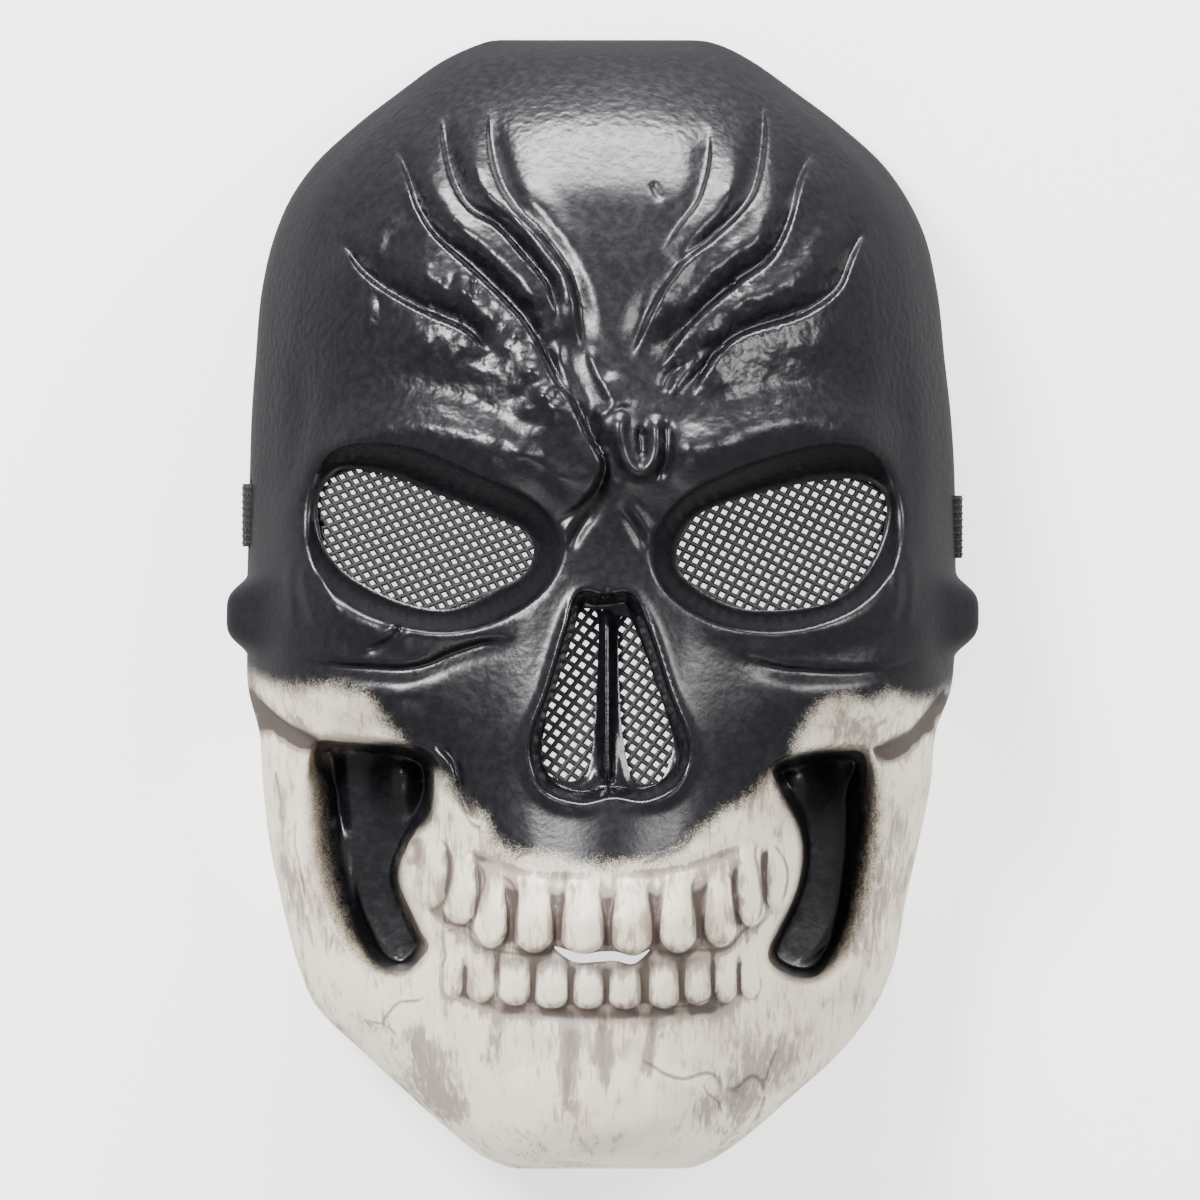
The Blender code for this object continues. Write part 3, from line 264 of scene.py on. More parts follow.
# Rolls between the creases, swellings of the brow and the sockets, and furrows
RIDGES = (
    Ridge("roll_left_centre", 2.0, 4.8, 0.3, 0.2, (
        (520, 150), (530, 200), (560, 245), (584, 292), (594, 345))),
    Ridge("roll_left_inner", 2.5, 2.8, 0.2, 0.5, (
        (470, 125), (474, 160), (486, 195), (512, 220), (538, 252), (558, 284), (566, 316), (569, 345))),
    Ridge("roll_left_middle", 3.2, 3.8, 0.2, 0.3, (
        (420, 140), (430, 190), (450, 222), (485, 250), (515, 282), (536, 316), (546, 345), (562, 380))),
    Ridge("roll_left_lower", 2.9, 4.8, 0.2, 0.8, (
        (392, 240), (425, 278), (465, 300), (500, 332), (524, 362), (552, 400), (574, 440))),
    Ridge("roll_left_brow", 3.2, 7.5, 0.3, 0.4, (
        (352, 310), (400, 338), (450, 352), (498, 380), (548, 430), (580, 470))),
    Ridge("roll_left_e", 1.9, 3.0, 0.3, 0.2, ((410, 210), (386, 222), (374, 246), (378, 275))),
    Ridge("left_side_one", -0.9, 1.3, 0.3, 0.2, (
        (372, 285), (381, 302), (381, 325), (374, 342), (368, 360))),
    Ridge("left_side_two", 0.9, 1.8, 0.3, 0.2, ((362, 290), (368, 312), (364, 336))),
    Ridge("left_nick", -0.8, 0.8, 0.3, 0.0, ((476, 276), (474, 290), (477, 304))),
    Ridge("roll_right_inner", 2.3, 3.2, 0.25, 0.4, (
        (738, 130), (736, 170), (724, 205), (696, 240), (668, 280), (648, 322), (638, 352))),
    Ridge("roll_right_middle", 2.8, 3.9, 0.25, 0.4, (
        (792, 150), (782, 200), (758, 240), (720, 268), (690, 304), (672, 345))),
    Ridge("roll_right_lower", 2.8, 4.8, 0.25, 0.5, (
        (845, 195), (822, 250), (788, 290), (742, 312), (708, 342), (684, 384))),
    Ridge("roll_right_brow", 2.3, 6.9, 0.3, 0.4, (
        (866, 300), (815, 345), (760, 362), (725, 392), (700, 430))),
    Ridge("right_nick", -0.9, 1.0, 0.3, 0.0, ((650, 183), (656, 192), (662, 203))),
    Ridge("right_crease", -0.8, 0.9, 0.3, 0.0, ((726, 281), (735, 290), (742, 299))),
    Ridge("brow_left", 5.2, 7.0, 0.25, 0.1, (
        (300, 482), (340, 448), (395, 430), (450, 434), (500, 452), (545, 486))),
    Ridge("brow_right", 5.0, 7.0, 0.25, 0.1, (
        (905, 480), (870, 440), (815, 424), (765, 428), (715, 448), (672, 486))),
    Ridge("brow_left_end", 2.0, 3.4, 0.3, 0.2, ((498, 448), (530, 458), (562, 480), (580, 492))),
    Ridge("glabella_loop", 2.4, 1.9, 0.12, 0.2, (
        (622, 408), (618, 432), (622, 458), (634, 472), (646, 470), (654, 452), (654, 412))),
    Ridge("glabella_slot", -1.6, 1.1, 0.2, 0.0, ((639, 428), (640, 444), (641, 458))),
    Ridge("glabella_left_strip", 1.8, 1.8, 0.25, 0.2, ((556, 338), (560, 366), (572, 392), (590, 418))),
    Ridge("glabella_left_inner", 1.4, 1.5, 0.25, 0.2, ((586, 344), (594, 366), (606, 392), (618, 410))),
    Ridge("glabella_centre", 1.3, 2.0, 0.3, 0.4, ((606, 372), (620, 394), (628, 414))),
    Ridge("glabella_cross", 1.0, 1.3, 0.3, 0.2, ((588, 420), (606, 412), (622, 400))),
    Ridge("glabella_low_left", 1.6, 1.5, 0.25, 0.2, ((598, 444), (608, 466), (612, 488))),
    Ridge("glabella_low_edge", -1.3, 1.1, 0.25, 0.0, ((592, 442), (602, 462), (600, 478), (594, 496))),
    Ridge("glabella_right_gap", -1.5, 1.2, 0.2, 0.0, ((664, 420), (666, 446), (662, 470), (650, 482))),
    Ridge("glabella_right_fold", 1.4, 1.6, 0.25, 0.2, ((668, 398), (678, 382), (694, 366), (712, 352))),
    Ridge("glabella_right_dip", -1.2, 1.5, 0.25, 0.0, ((660, 396), (668, 378), (684, 362))),
    Ridge("bridge_fold_left", 1.2, 1.5, 0.35, 0.2, ((594, 498), (580, 512), (566, 530), (558, 552))),
    Ridge("bridge_dip_left", -1.1, 1.2, 0.35, 0.0, ((600, 502), (588, 518), (576, 536), (568, 556))),
    Ridge("bridge_fold_right", 1.2, 1.5, 0.35, 0.2, ((622, 498), (634, 512), (646, 528), (654, 550))),
    Ridge("bridge_dip_right", -1.0, 1.2, 0.35, 0.0, ((614, 502), (626, 518), (637, 536), (645, 556))),
    Ridge("temple_left", -3.0, 6.0, 0.3, 0.2, ((286, 335), (312, 400), (300, 470), (283, 520))),
    Ridge("temple_right", -2.4, 6.0, 0.3, 0.2, ((920, 335), (898, 400), (908, 470), (922, 520))),
    Ridge("temple_left_fold", 1.6, 2.6, 0.3, 0.2, (
        (306, 352), (320, 392), (314, 440), (298, 492), (282, 540))),
    Ridge("orbit_left", 2.6, 4.0, 0.3, 0.1, (
        (305, 500), (300, 560), (330, 606), (395, 632), (470, 628), (525, 600))),
    Ridge("orbit_right", 2.4, 4.0, 0.3, 0.1, (
        (902, 500), (905, 560), (872, 606), (812, 630), (735, 630), (680, 602))),
    Ridge("cheek_side_left_one", 1.2, 1.4, 0.3, 0.1, ((293, 552), (291, 590), (297, 632))),
    Ridge("cheek_side_left_two", 1.4, 1.5, 0.3, 0.1, ((308, 560), (305, 585), (314, 616), (330, 636))),
    Ridge("cheek_side_left_three", 1.0, 1.4, 0.3, 0.1, ((322, 566), (328, 592), (344, 616))),
    Ridge("cheek_side_right_one", 1.2, 1.6, 0.3, 0.1, ((912, 545), (914, 590), (906, 636))),
    Ridge("cheek_side_right_two", 1.2, 1.6, 0.3, 0.1, ((896, 560), (898, 600), (884, 632))),
    Ridge("cheek_crease_left", -1.1, 1.0, 0.25, 0.0, ((408, 618), (398, 634), (382, 646), (362, 651))),
    Ridge("cheek_roll_left", 1.0, 1.6, 0.25, 0.0, ((400, 614), (390, 630), (374, 640), (356, 644))),
    Ridge("cheekbone_left", 3.4, 7.0, 0.35, 0.1, (
        (262, 650), (300, 690), (350, 705), (410, 700), (455, 690))),
    Ridge("cheekbone_right", 3.2, 7.0, 0.35, 0.1, (
        (945, 650), (905, 692), (850, 708), (795, 705), (750, 694))),
    Ridge("jaw_left", 2.6, 5.0, 0.3, 0.1, ((288, 800), (296, 860), (318, 930), (352, 985), (400, 1012))),
    Ridge("jaw_right", 2.4, 5.0, 0.3, 0.1, ((900, 800), (895, 860), (878, 930), (850, 985), (805, 1014))),
    Ridge("gum_line", -1.0, 2.4, 0.2, 0.4, (
        (455, 1000), (520, 1010), (600, 1014), (690, 1010), (760, 1000))),
    Ridge("upper_gum_left", -0.8, 1.6, 0.2, 0.3, ((452, 842), (486, 858), (530, 872), (600, 876))),
    Ridge("upper_gum_right", -0.8, 1.6, 0.2, 0.3, ((600, 876), (660, 870), (714, 856), (760, 836))),
    Ridge("chin_left", 1.6, 7.0, 0.3, 0.1, ((520, 1060), (535, 1110), (560, 1140))),
    Ridge("chin_right", 1.6, 7.0, 0.3, 0.1, ((690, 1060), (675, 1110), (650, 1140))),
    Ridge("root_left_three", 0.9, 2.4, 0.3, 0.2, ((488, 1004), (494, 1040), (504, 1075))),
    Ridge("root_left_two", 0.9, 2.6, 0.3, 0.2, ((550, 1008), (556, 1050), (562, 1090))),
    Ridge("root_left_one", 0.8, 2.4, 0.3, 0.2, ((590, 1010), (592, 1060), (594, 1100))),
    Ridge("root_right_one", 0.8, 2.4, 0.3, 0.2, ((628, 1010), (628, 1060), (626, 1100))),
    Ridge("root_right_two", 0.9, 2.6, 0.3, 0.2, ((668, 1008), (664, 1050), (658, 1090))),
    Ridge("root_right_three", 0.9, 2.4, 0.3, 0.2, ((702, 1004), (698, 1040), (690, 1070))),
)

# These stand on the carved skin: the rim of the nose opening, the bar between the nostrils, and the
# furrow and the lump inside each hollow of the cheeks
NOSE_RIDGES = (
    Ridge("nose_rim_left", 1.6, 1.7, 0.2, 0.0, (
        (600, 597), (578, 594), (562, 634), (545, 690), (526, 745), (540, 790), (580, 806), (612, 800))),
    Ridge("nose_rim_right", 1.6, 1.7, 0.2, 0.0, (
        (612, 597), (630, 594), (650, 634), (668, 690), (690, 745), (676, 788), (640, 804), (612, 800))),
    Ridge("nose_notch", -1.2, 1.3, 0.3, 0.0, ((606, 586), (606, 596), (606, 606))),
    Ridge("septum", 2.6, 1.35, 0.12, 0.0, ((606, 606), (606, 690), (606, 790))),
    Ridge("hollow_groove_left", -2.4, 1.8, 0.3, 0.0, ((336, 742), (338, 790), (345, 842))),
    Ridge("hollow_groove_right", -2.4, 1.8, 0.3, 0.0, ((866, 752), (865, 800), (862, 850))),
    Ridge("hollow_line_left", 0.7, 0.9, 0.3, 0.0, ((352, 846), (358, 900), (372, 935), (398, 962))),
    Ridge("hollow_line_right", 0.7, 0.9, 0.3, 0.0, ((852, 850), (848, 900), (834, 938), (808, 965))),
)
HOLLOW_LUMPS = (
    Blob("hollow_lump_left", 404, 778, 6.0, 8.5, 7.0),
    Blob("hollow_lump_right", 800, 782, 6.5, 8.0, 6.5),
)

BLOBS = (
    Blob("glabella_right", 686, 450, 4.4, 6.2, 3.0),
    Blob("glabella_left", 604, 430, 3.0, 4.0, 1.3),
    Blob("glabella_mound", 606, 440, 15.0, 16.0, 2.4),
    Blob("cheek_left", 385, 628, 12.0, 7.0, 2.2),
    Blob("cheek_right", 820, 630, 12.0, 7.0, 1.6),
    Blob("forehead_left", 430, 250, 22.0, 20.0, 1.6),
    Blob("forehead_right", 790, 250, 22.0, 20.0, 1.6),
    Blob("chin", 606, 1110, 20.0, 12.0, 2.6),
)

TEETH = (
    Tooth("upper_left_6", 400, 428, 832, 896, 2.6, 0.26),
    Tooth("upper_left_5", 410, 453, 842, 908, 3.8, 0.34),
    Tooth("upper_left_4", 441, 481, 858, 924, 4.1, 0.32),
    Tooth("upper_left_3", 470, 509, 876, 947, 4.3, 0.30),
    Tooth("upper_left_2", 512, 554, 884, 951, 4.5, 0.28),
    Tooth("upper_left_1", 558, 604, 882, 954, 4.8, 0.28),
    Tooth("upper_right_1", 608, 652, 882, 954, 4.8, 0.28),
    Tooth("upper_right_2", 656, 696, 884, 951, 4.5, 0.28),
    Tooth("upper_right_3", 701, 737, 874, 946, 4.3, 0.30),
    Tooth("upper_right_4", 733, 767, 856, 926, 4.1, 0.32),
    Tooth("upper_right_5", 762, 794, 846, 912, 3.8, 0.34),
    Tooth("upper_right_6", 779, 803, 836, 900, 2.6, 0.26),
    Tooth("lower_left_5", 444, 464, 956, 996, 2.0, 0.08),
    Tooth("lower_left_4", 466, 495, 956, 1000, 2.4, 0.08),
    Tooth("lower_left_3", 498, 531, 955, 1003, 2.5, 0.08),
    Tooth("lower_left_2", 533, 568, 962, 1006, 2.7, 0.08),
    Tooth("lower_left_1", 570, 603, 964, 1006, 2.7, 0.08),
    Tooth("lower_right_1", 606, 640, 964, 1006, 2.7, 0.08),
    Tooth("lower_right_2", 646, 678, 962, 1006, 2.7, 0.08),
    Tooth("lower_right_3", 682, 711, 956, 1003, 2.5, 0.08),
    Tooth("lower_right_4", 712, 737, 956, 1000, 2.4, 0.08),
    Tooth("lower_right_5", 739, 760, 956, 996, 2.0, 0.08),
)

# Outlines on the front view, each closed, with round stretches drawn through their points
LEFT_EYE = (
    (320, 500), (334, 476), (352, 469), (395, 477), (445, 497), (490, 515), (523, 530), (534, 548),
    (526, 572), (500, 587), (460, 607), (425, 608), (385, 595), (345, 571), (324, 540))
RIGHT_EYE = (
    (677, 562), (680, 538), (697, 516), (735, 500), (790, 486), (845, 479), (876, 485), (888, 506),
    (882, 540), (864, 575), (835, 600), (795, 609), (745, 609), (710, 596), (684, 577))
LEFT_SOCKET = (
    (296, 500), (318, 455), (360, 440), (420, 448), (480, 474), (535, 500), (566, 540), (552, 585),
    (510, 618), (455, 634), (400, 628), (345, 604), (308, 560))
RIGHT_SOCKET = (
    (912, 505), (890, 455), (845, 440), (785, 450), (720, 474), (672, 504), (646, 545), (660, 590),
    (705, 622), (760, 634), (812, 628), (866, 602), (902, 560))
LEFT_NOSTRIL = (
    (580, 612), (592, 610), (598, 622), (597, 670), (594, 725), (589, 766), (580, 778), (562, 780),
    (546, 771), (542, 750), (547, 712), (558, 680), (570, 644))
RIGHT_NOSTRIL = (
    (619, 622), (628, 618), (638, 636), (652, 674), (668, 722), (672, 746), (662, 777), (648, 783),
    (634, 782), (627, 766), (621, 725), (618, 670))
NOSE_RIM = (
    (604, 598), (578, 596), (566, 634), (549, 690), (532, 742), (543, 784), (578, 798), (612, 793),
    (645, 796), (676, 778), (685, 744), (666, 692), (648, 636), (630, 597))
LEFT_HOLLOW = (
    (320, 744), (380, 742), (430, 756), (436, 800), (412, 848), (404, 880), (422, 924), (430, 950),
    (406, 974), (370, 958), (338, 910), (320, 860), (314, 800))
RIGHT_HOLLOW = (
    (772, 768), (820, 752), (866, 752), (874, 800), (872, 870), (856, 938), (822, 978), (786, 976),
    (768, 952), (792, 900), (802, 858), (796, 818))
MOUTH_SLIT = (
    (553, 944), (580, 951), (598, 949), (614, 949), (632, 953), (648, 947), (632, 961), (613, 958),
    (596, 959), (572, 959))

EYE_SEAT = Plane(73.0, -0.36, 0.0, 17.0, 0.0)
NOSE_SEAT = Plane(77.0, 0.0, -0.13, 0.0, -2.0)

# How far the cuts reach, mm: up through the face, out through the side walls, and under the feet
FACE_CUT = (30.0, 130.0)
SIDE_CUT = (80.0, 96.0)
FOOT_CUT_HALF = (120.0, 160.0)
FOOT_CUT_DEPTH = 10.0

# Where the black paint ends: the black lies inside the first three outlines and fades over their
# edges, and the rest of the moulding is bone coloured
BLACK_TOP = (
    (150, -60), (1060, -60), (1060, 640), (985, 672), (958, 690), (925, 700), (880, 699), (838, 702),
    (820, 712), (807, 726), (800, 742), (796, 760), (784, 772), (774, 780), (764, 788), (744, 802),
    (722, 814), (703, 828), (683, 843), (660, 855), (632, 860), (604, 863), (554, 857), (520, 855),
    (498, 841), (484, 824), (468, 810), (455, 792), (440, 780), (424, 774), (410, 765), (402, 748),
    (394, 731),
    (382, 716), (364, 702), (340, 691), (321, 688), (282, 688), (254, 677), (236, 664), (215, 655),
    (150, 640))
BLACK_HOLLOW_LEFT = (
    (322, 745), (345, 745), (378, 740), (412, 742), (432, 760), (437, 800), (432, 822), (414, 838),
    (403, 862), (404, 896), (414, 920), (424, 945), (416, 966), (392, 974), (368, 962), (344, 928),
    (330, 890), (321, 845), (317, 800))
BLACK_HOLLOW_RIGHT = (
    (776, 760), (812, 748), (850, 748), (872, 756), (880, 800), (878, 850), (868, 898), (852, 938),
    (830, 968), (806, 980), (782, 972), (772, 950), (786, 916), (798, 890), (803, 858), (797, 830),
    (780, 800), (772, 778))
# Half widths of the airbrushed edge in mm, at the top outline and at the hollows
AIRBRUSH_TOP = 3.8
AIRBRUSH_HOLLOW = 2.1

CRACKS = (
    Crack("jaw_left_one", 0.22, 0.8, (
        (372, 1037), (382, 1024), (392, 1010), (402, 1001), (414, 1001), (428, 996))),
    Crack("jaw_left_two", 0.18, 0.6, ((360, 1018), (374, 1022), (390, 1026), (400, 1040))),
    Crack("jaw_right_one", 0.30, 1.0, (
        (636, 1056), (650, 1062), (664, 1071), (682, 1076), (700, 1071), (712, 1072), (722, 1084))),
    Crack("jaw_right_two", 0.30, 1.0, (
        (722, 1086), (735, 1087), (744, 1079), (754, 1074), (763, 1084), (765, 1098),
        (760, 1114), (754, 1126))),
    Crack("jaw_right_three", 0.22, 0.8, ((764, 1086), (768, 1072), (772, 1060), (778, 1046))),
    Crack("jaw_right_four", 0.20, 0.7, ((700, 1074), (706, 1090), (718, 1100), (722, 1116))),
    Crack("maxilla_left", 0.34, 1.0, ((452, 786), (458, 800), (466, 814), (474, 824), (486, 828))),
    Crack("maxilla_left_low", 0.22, 0.8, ((512, 860), (522, 852), (534, 852))),
    Crack("maxilla_right", 0.30, 1.0, (
        (636, 862), (652, 858), (664, 850), (682, 846), (692, 830), (704, 822))),
    Crack("tooth_left_5", 0.24, 0.9, ((440, 836), (450, 850), (453, 866), (449, 888), (444, 904))),
    Crack("tooth_left_4", 0.24, 0.9, ((470, 856), (482, 868), (485, 880), (478, 900), (474, 922))),
    Crack("tooth_left_3", 0.26, 1.0, ((498, 872), (512, 882), (517, 900), (515, 925), (517, 944))),
    Crack("tooth_right_2", 0.26, 0.9, ((646, 888), (650, 902), (652, 918))),
    Crack("tooth_right_3", 0.26, 0.9, ((696, 872), (690, 886), (691, 908), (692, 932))),
    Crack("tooth_right_4", 0.26, 0.9, ((724, 868), (734, 884), (736, 905), (732, 930))),
    Crack("tooth_right_5", 0.26, 0.9, ((758, 838), (754, 852), (758, 872), (762, 900), (757, 922))),
    Crack("tooth_right_6", 0.22, 0.8, ((772, 842), (784, 858), (788, 878), (782, 904))),
    Crack("bite_line", 0.26, 0.9, (
        (444, 908), (452, 922), (470, 926), (482, 944), (498, 949), (520, 952), (548, 951))),
    Crack("bite_line_right", 0.26, 0.9, (
        (652, 952), (676, 953), (694, 948), (712, 948), (730, 944), (744, 928), (758, 922))),
    Crack("jaw_corner_left", 0.26, 0.9, ((442, 905), (446, 920), (442, 935), (446, 955), (438, 972))),
    Crack("jaw_left_three", 0.18, 0.5, ((300, 812), (296, 840), (302, 868), (308, 902))),
    Crack("jaw_left_four", 0.18, 0.5, ((276, 768), (283, 800), (280, 828))),
    Crack("gum_left", 0.2, 0.7, ((662, 1004), (690, 1003), (708, 996), (722, 986))),
)
# Brown wash along paths, and two bands of painted shade under the cheekbones.
STAINS_AND_SHADE = (
    StainAndShade("mouth_mid", 2.4, 1.22, ((470, 962), (540, 958), (600, 964), (660, 960), (735, 956))),
    StainAndShade("lower_gum", 3.0, 0.74, ((455, 1000), (520, 1010), (600, 1014), (690, 1010), (760, 1000))),
    StainAndShade("upper_gum_left", 2.6, 0.5, ((446, 850), (486, 866), (530, 884), (600, 886))),
    StainAndShade("upper_gum_right", 2.6, 0.5, ((600, 886), (660, 880), (714, 866), (760, 846))),
    StainAndShade("gap_left_3", 2.0, 1.08, ((510, 884), (508, 915), (508, 944))),
    StainAndShade("gap_left_2", 2.0, 1.41, ((556, 892), (555, 912), (555, 940))),
    StainAndShade("gap_middle", 1.8, 1.41, ((606, 893), (606, 912), (606, 945))),
    StainAndShade("gap_right_1", 1.4, 1.30, ((651, 890), (652, 912), (654, 945))),
    StainAndShade("gap_right_2", 2.2, 1.19, ((701, 880), (699, 912), (699, 940))),
    StainAndShade("gap_right_3", 1.8, 1.08, ((738, 866), (738, 890), (736, 926))),
    StainAndShade("gap_right_4", 1.6, 0.98, ((764, 846), (766, 872), (764, 905))),
    StainAndShade("gap_left_4", 1.8, 0.86, ((478, 862), (481, 890), (476, 920))),
    StainAndShade("gap_left_5", 1.8, 0.86, ((444, 846), (449, 872), (446, 902))),
    StainAndShade("tooth_left_6_top", 2.0, 1.1, ((417, 834), (420, 850), (412, 868))),
    StainAndShade("chin_one", 2.6, 1.05, ((567, 1010), (570, 1045), (566, 1085), (572, 1120))),
    StainAndShade("chin_two", 2.2, 0.90, ((600, 1012), (601, 1050), (600, 1090))),
    StainAndShade("chin_three", 2.4, 0.90, ((650, 1008), (650, 1045), (644, 1080))),
    StainAndShade("chin_four", 2.0, 0.75, ((500, 1006), (494, 1040), (480, 1070))),
    StainAndShade("chin_left", 5.0, 0.83, ((400, 1020), (425, 1060), (450, 1098), (480, 1120))),
    StainAndShade("chin_right", 6.0, 0.65, ((790, 1030), (752, 1075), (722, 1108), (690, 1130))),
    StainAndShade("jaw_right_corner", 4.0, 0.30, ((700, 1072), (735, 1088), (765, 1100))),
    StainAndShade("jaw_left_side", 4.0, 0.35, ((275, 790), (290, 850), (305, 910), (335, 960))),
    StainAndShade("jaw_right_side", 4.0, 0.45, ((905, 790), (895, 850), (880, 910), (850, 970))),
    StainAndShade("jaw_left_top", 2.2, 1.5, ((254, 724), (264, 726), (274, 716))),
    StainAndShade("jaw_left_patch", 2.4, 1.1, ((290, 732), (306, 742), (318, 748))),
    StainAndShade("jaw_right_top", 2.2, 1.5, ((942, 724), (932, 726), (922, 718))),
    StainAndShade("jaw_right_patch", 3.0, 0.9, ((915, 742), (900, 750), (886, 756))),
    # Painted shade: dark bands under the cheekbones, where their overhang shades the jaw.
    StainAndShade("painted_shade_under_cheek_left", 1.8, 1.9, ((243, 684), (258, 706), (280, 726), (304, 738), (326, 746))),
    StainAndShade("painted_shade_under_cheek_right", 1.8, 1.9, ((957, 690), (940, 712), (920, 732), (896, 746), (872, 752))),
    StainAndShade("neck_left", 3.0, 0.7, ((250, 672), (252, 690), (256, 712))),
    StainAndShade("neck_right", 3.0, 0.7, ((950, 690), (946, 704), (940, 716))),
    StainAndShade("cheekbone_right", 5.0, 0.35, ((820, 722), (870, 724), (915, 716))),
    StainAndShade("lower_teeth_left", 2.0, 0.68, ((462, 962), (466, 985), (464, 1004))),
    StainAndShade("lower_teeth_a", 1.6, 0.94, ((532, 960), (532, 985), (532, 1004))),
    StainAndShade("lower_teeth_b", 1.6, 1.08, ((570, 962), (570, 985), (570, 1004))),
    StainAndShade("lower_teeth_c", 1.6, 0.94, ((604, 964), (604, 985), (604, 1004))),
    StainAndShade("lower_teeth_d", 2.0, 1.08, ((643, 962), (643, 985), (643, 1004))),
    StainAndShade("lower_teeth_e", 1.8, 0.94, ((680, 960), (680, 985), (680, 1004))),
    StainAndShade("lower_teeth_f", 1.6, 0.81, ((712, 958), (712, 980), (712, 1000))),
    StainAndShade("lower_teeth_g", 1.6, 0.81, ((738, 956), (738, 975), (738, 996))),
)

NETS = (
    Net("eye_mesh_left", LEFT_EYE, EYE_SEAT, 2.5, (2.12, 0.80), (1.33, -1.94), 1.20),
    Net("eye_mesh_right", RIGHT_EYE, EYE_SEAT, 2.5, (2.24, -1.10), (-1.20, -2.02), 1.20),
    Net("nose_mesh_left", LEFT_NOSTRIL, NOSE_SEAT, 1.9, (2.07, -1.45), (-1.50, -1.99), 1.22),
    Net("nose_mesh_right", RIGHT_NOSTRIL, NOSE_SEAT, 1.9, (2.00, -1.40), (-1.50, -2.02), 1.22),
)

SLOTS = (Slot(Side.LEFT, 20.7), Slot(Side.RIGHT, 17.8))
# The strap's free stretch stands on edge in one round bow behind the teeth
BOW = (
    BowPoint(70.4, 4.5),
    BowPoint(68.6, -6.0),
    BowPoint(65.0, -18.5),
    BowPoint(56.4, -31.5),
    BowPoint(42.0, -42.5),
    BowPoint(22.0, -49.5),
    BowPoint(0.0, -52.0),
)


def smooth_step(share: Array) -> Array:
    """Eases 0 to 1, level at both ends."""
    share = np.clip(share, 0.0, 1.0)
    return share * share * (3.0 - 2.0 * share)


def rounded_path(points: Array, closed: bool = False, steps: int = 6) -> Array:
    """A Catmull-Rom curve.

    Args:
        points: the points that the curve runs through.
        closed: whether it returns to its start.
        steps: stations from one point to the next.

    Returns:
        The stations, a row each.
    """
    points = np.asarray(points, dtype=float)
    if closed:
        padded = np.vstack([points[-1:], points, points[:2]])
    else:
        padded = np.vstack([2 * points[0] - points[1], points, 2 * points[-1] - points[-2]])
    share = (np.arange(steps) / steps)[:, None]
    pieces = []
    for a, b, c, d in zip(padded, padded[1:], padded[2:], padded[3:]):
        pieces.append(0.5 * (2 * b + (c - a) * share + (2 * a - 5 * b + 4 * c - d) * share ** 2
                             + (3 * b - a - 3 * c + d) * share ** 3))
    if not closed:
        pieces.append(points[-1:])
    return np.vstack(pieces)


def cubic_curve(knots: Array, values: Array, wanted: Array, level_start: bool = False,
                monotone: bool = False) -> Array:
    """A piecewise cubic along the first axis.

    Args:
        knots: the places where the values hold.
        values: a row for each knot.
        wanted: the places to read.
        level_start: whether the curve starts level.
        monotone: whether it keeps from overshooting its knots.

    Returns:
        A row for each wanted place.
    """
    knots = np.asarray(knots, dtype=float)
    values = np.asarray(values, dtype=float)
    shape = (-1,) + (1,) * (values.ndim - 1)
    gaps = np.diff(knots)
    rises = np.diff(values, axis=0) / gaps.reshape(shape)
    slopes = np.zeros_like(values)
    slopes[0] = 0.0 if level_start else rises[0]
    slopes[-1] = rises[-1]
    before, after = rises[:-1], rises[1:]
    if monotone:
        total = before + after
        safe = np.where(np.abs(total) > 1e-12, total, 1.0)
        slopes[1:-1] = np.where(before * after > 0, 2.0 * before * after / safe, 0.0)
    else:
        spans = gaps.reshape(shape)
        slopes[1:-1] = (before * spans[1:] + after * spans[:-1]) / (spans[1:] + spans[:-1])
    index = np.clip(np.searchsorted(knots, wanted, side="right") - 1, 0, len(gaps) - 1)
    width = gaps[index].reshape(shape)
    t = ((wanted - knots[index]) / gaps[index]).reshape(shape)
    return ((2 * t ** 3 - 3 * t ** 2 + 1) * values[index] + (t ** 3 - 2 * t ** 2 + t) * width * slopes[index]
            + (3 * t ** 2 - 2 * t ** 3) * values[index + 1] + (t ** 3 - t ** 2) * width * slopes[index + 1])


def near_path(path: Array, x: Array, y: Array) -> tuple[Array, Array]:
    """Distance to a path.

    Args:
        path: its stations.
        x: places along X.
        y: places along Y.

    Returns:
        The distance, positive on the left of travel, and the share of the path's length passed.
    """
    runs = np.diff(path, axis=0)
    lengths = np.maximum(np.hypot(runs[:, 0], runs[:, 1]), 1e-9)
    passed = np.concatenate([[0.0], np.cumsum(lengths)])
    best = np.full(x.shape, 1e9)
    signed = np.full(x.shape, 1e9)
    share = np.zeros(x.shape)
    for start, run, length, before in zip(path[:-1], runs, lengths, passed):
        dx = x - start[0]
        dy = y - start[1]
        along = np.clip((dx * run[0] + dy * run[1]) / length ** 2, 0.0, 1.0)
        gap = np.hypot(dx - along * run[0], dy - along * run[1])
        closer = gap < best
        best = np.where(closer, gap, best)
        side = np.where(run[0] * dy - run[1] * dx >= 0, 1.0, -1.0)
        signed = np.where(closer, gap * side, signed)
        share = np.where(closer, (before + along * length) / passed[-1], share)
    return signed, share


def inside_outline(outline: Array, x: Array, y: Array) -> Array:
    """Distance to a closed outline, positive inside it."""
    closed = np.vstack([outline, outline[:1]])
    gap = np.abs(near_path(closed, x, y)[0])
    crossings = np.zeros(x.shape, dtype=int)
    for (ax, ay), (bx, by) in zip(closed, closed[1:]):
        if ay != by:
            spans = (ay > y) != (by > y)
            crossings += (spans & (x < (bx - ax) * (y - ay) / (by - ay) + ax)).astype(int)
    return np.where(crossings % 2 == 1, gap, -gap)


def window(path: Array, reach: float, x: Array, y: Array) -> Array:
    """Which places lie within reach of a path's box."""
    low = path.min(axis=0) - reach
    high = path.max(axis=0) + reach
    return (x > low[0]) & (x < high[0]) & (y > low[1]) & (y < high[1])


def end_fade(share: Array, fade: float) -> Array:
    """Dies away over a share of the length at each end of a path."""
    return smooth_step(share / fade) * smooth_step((1.0 - share) / fade)


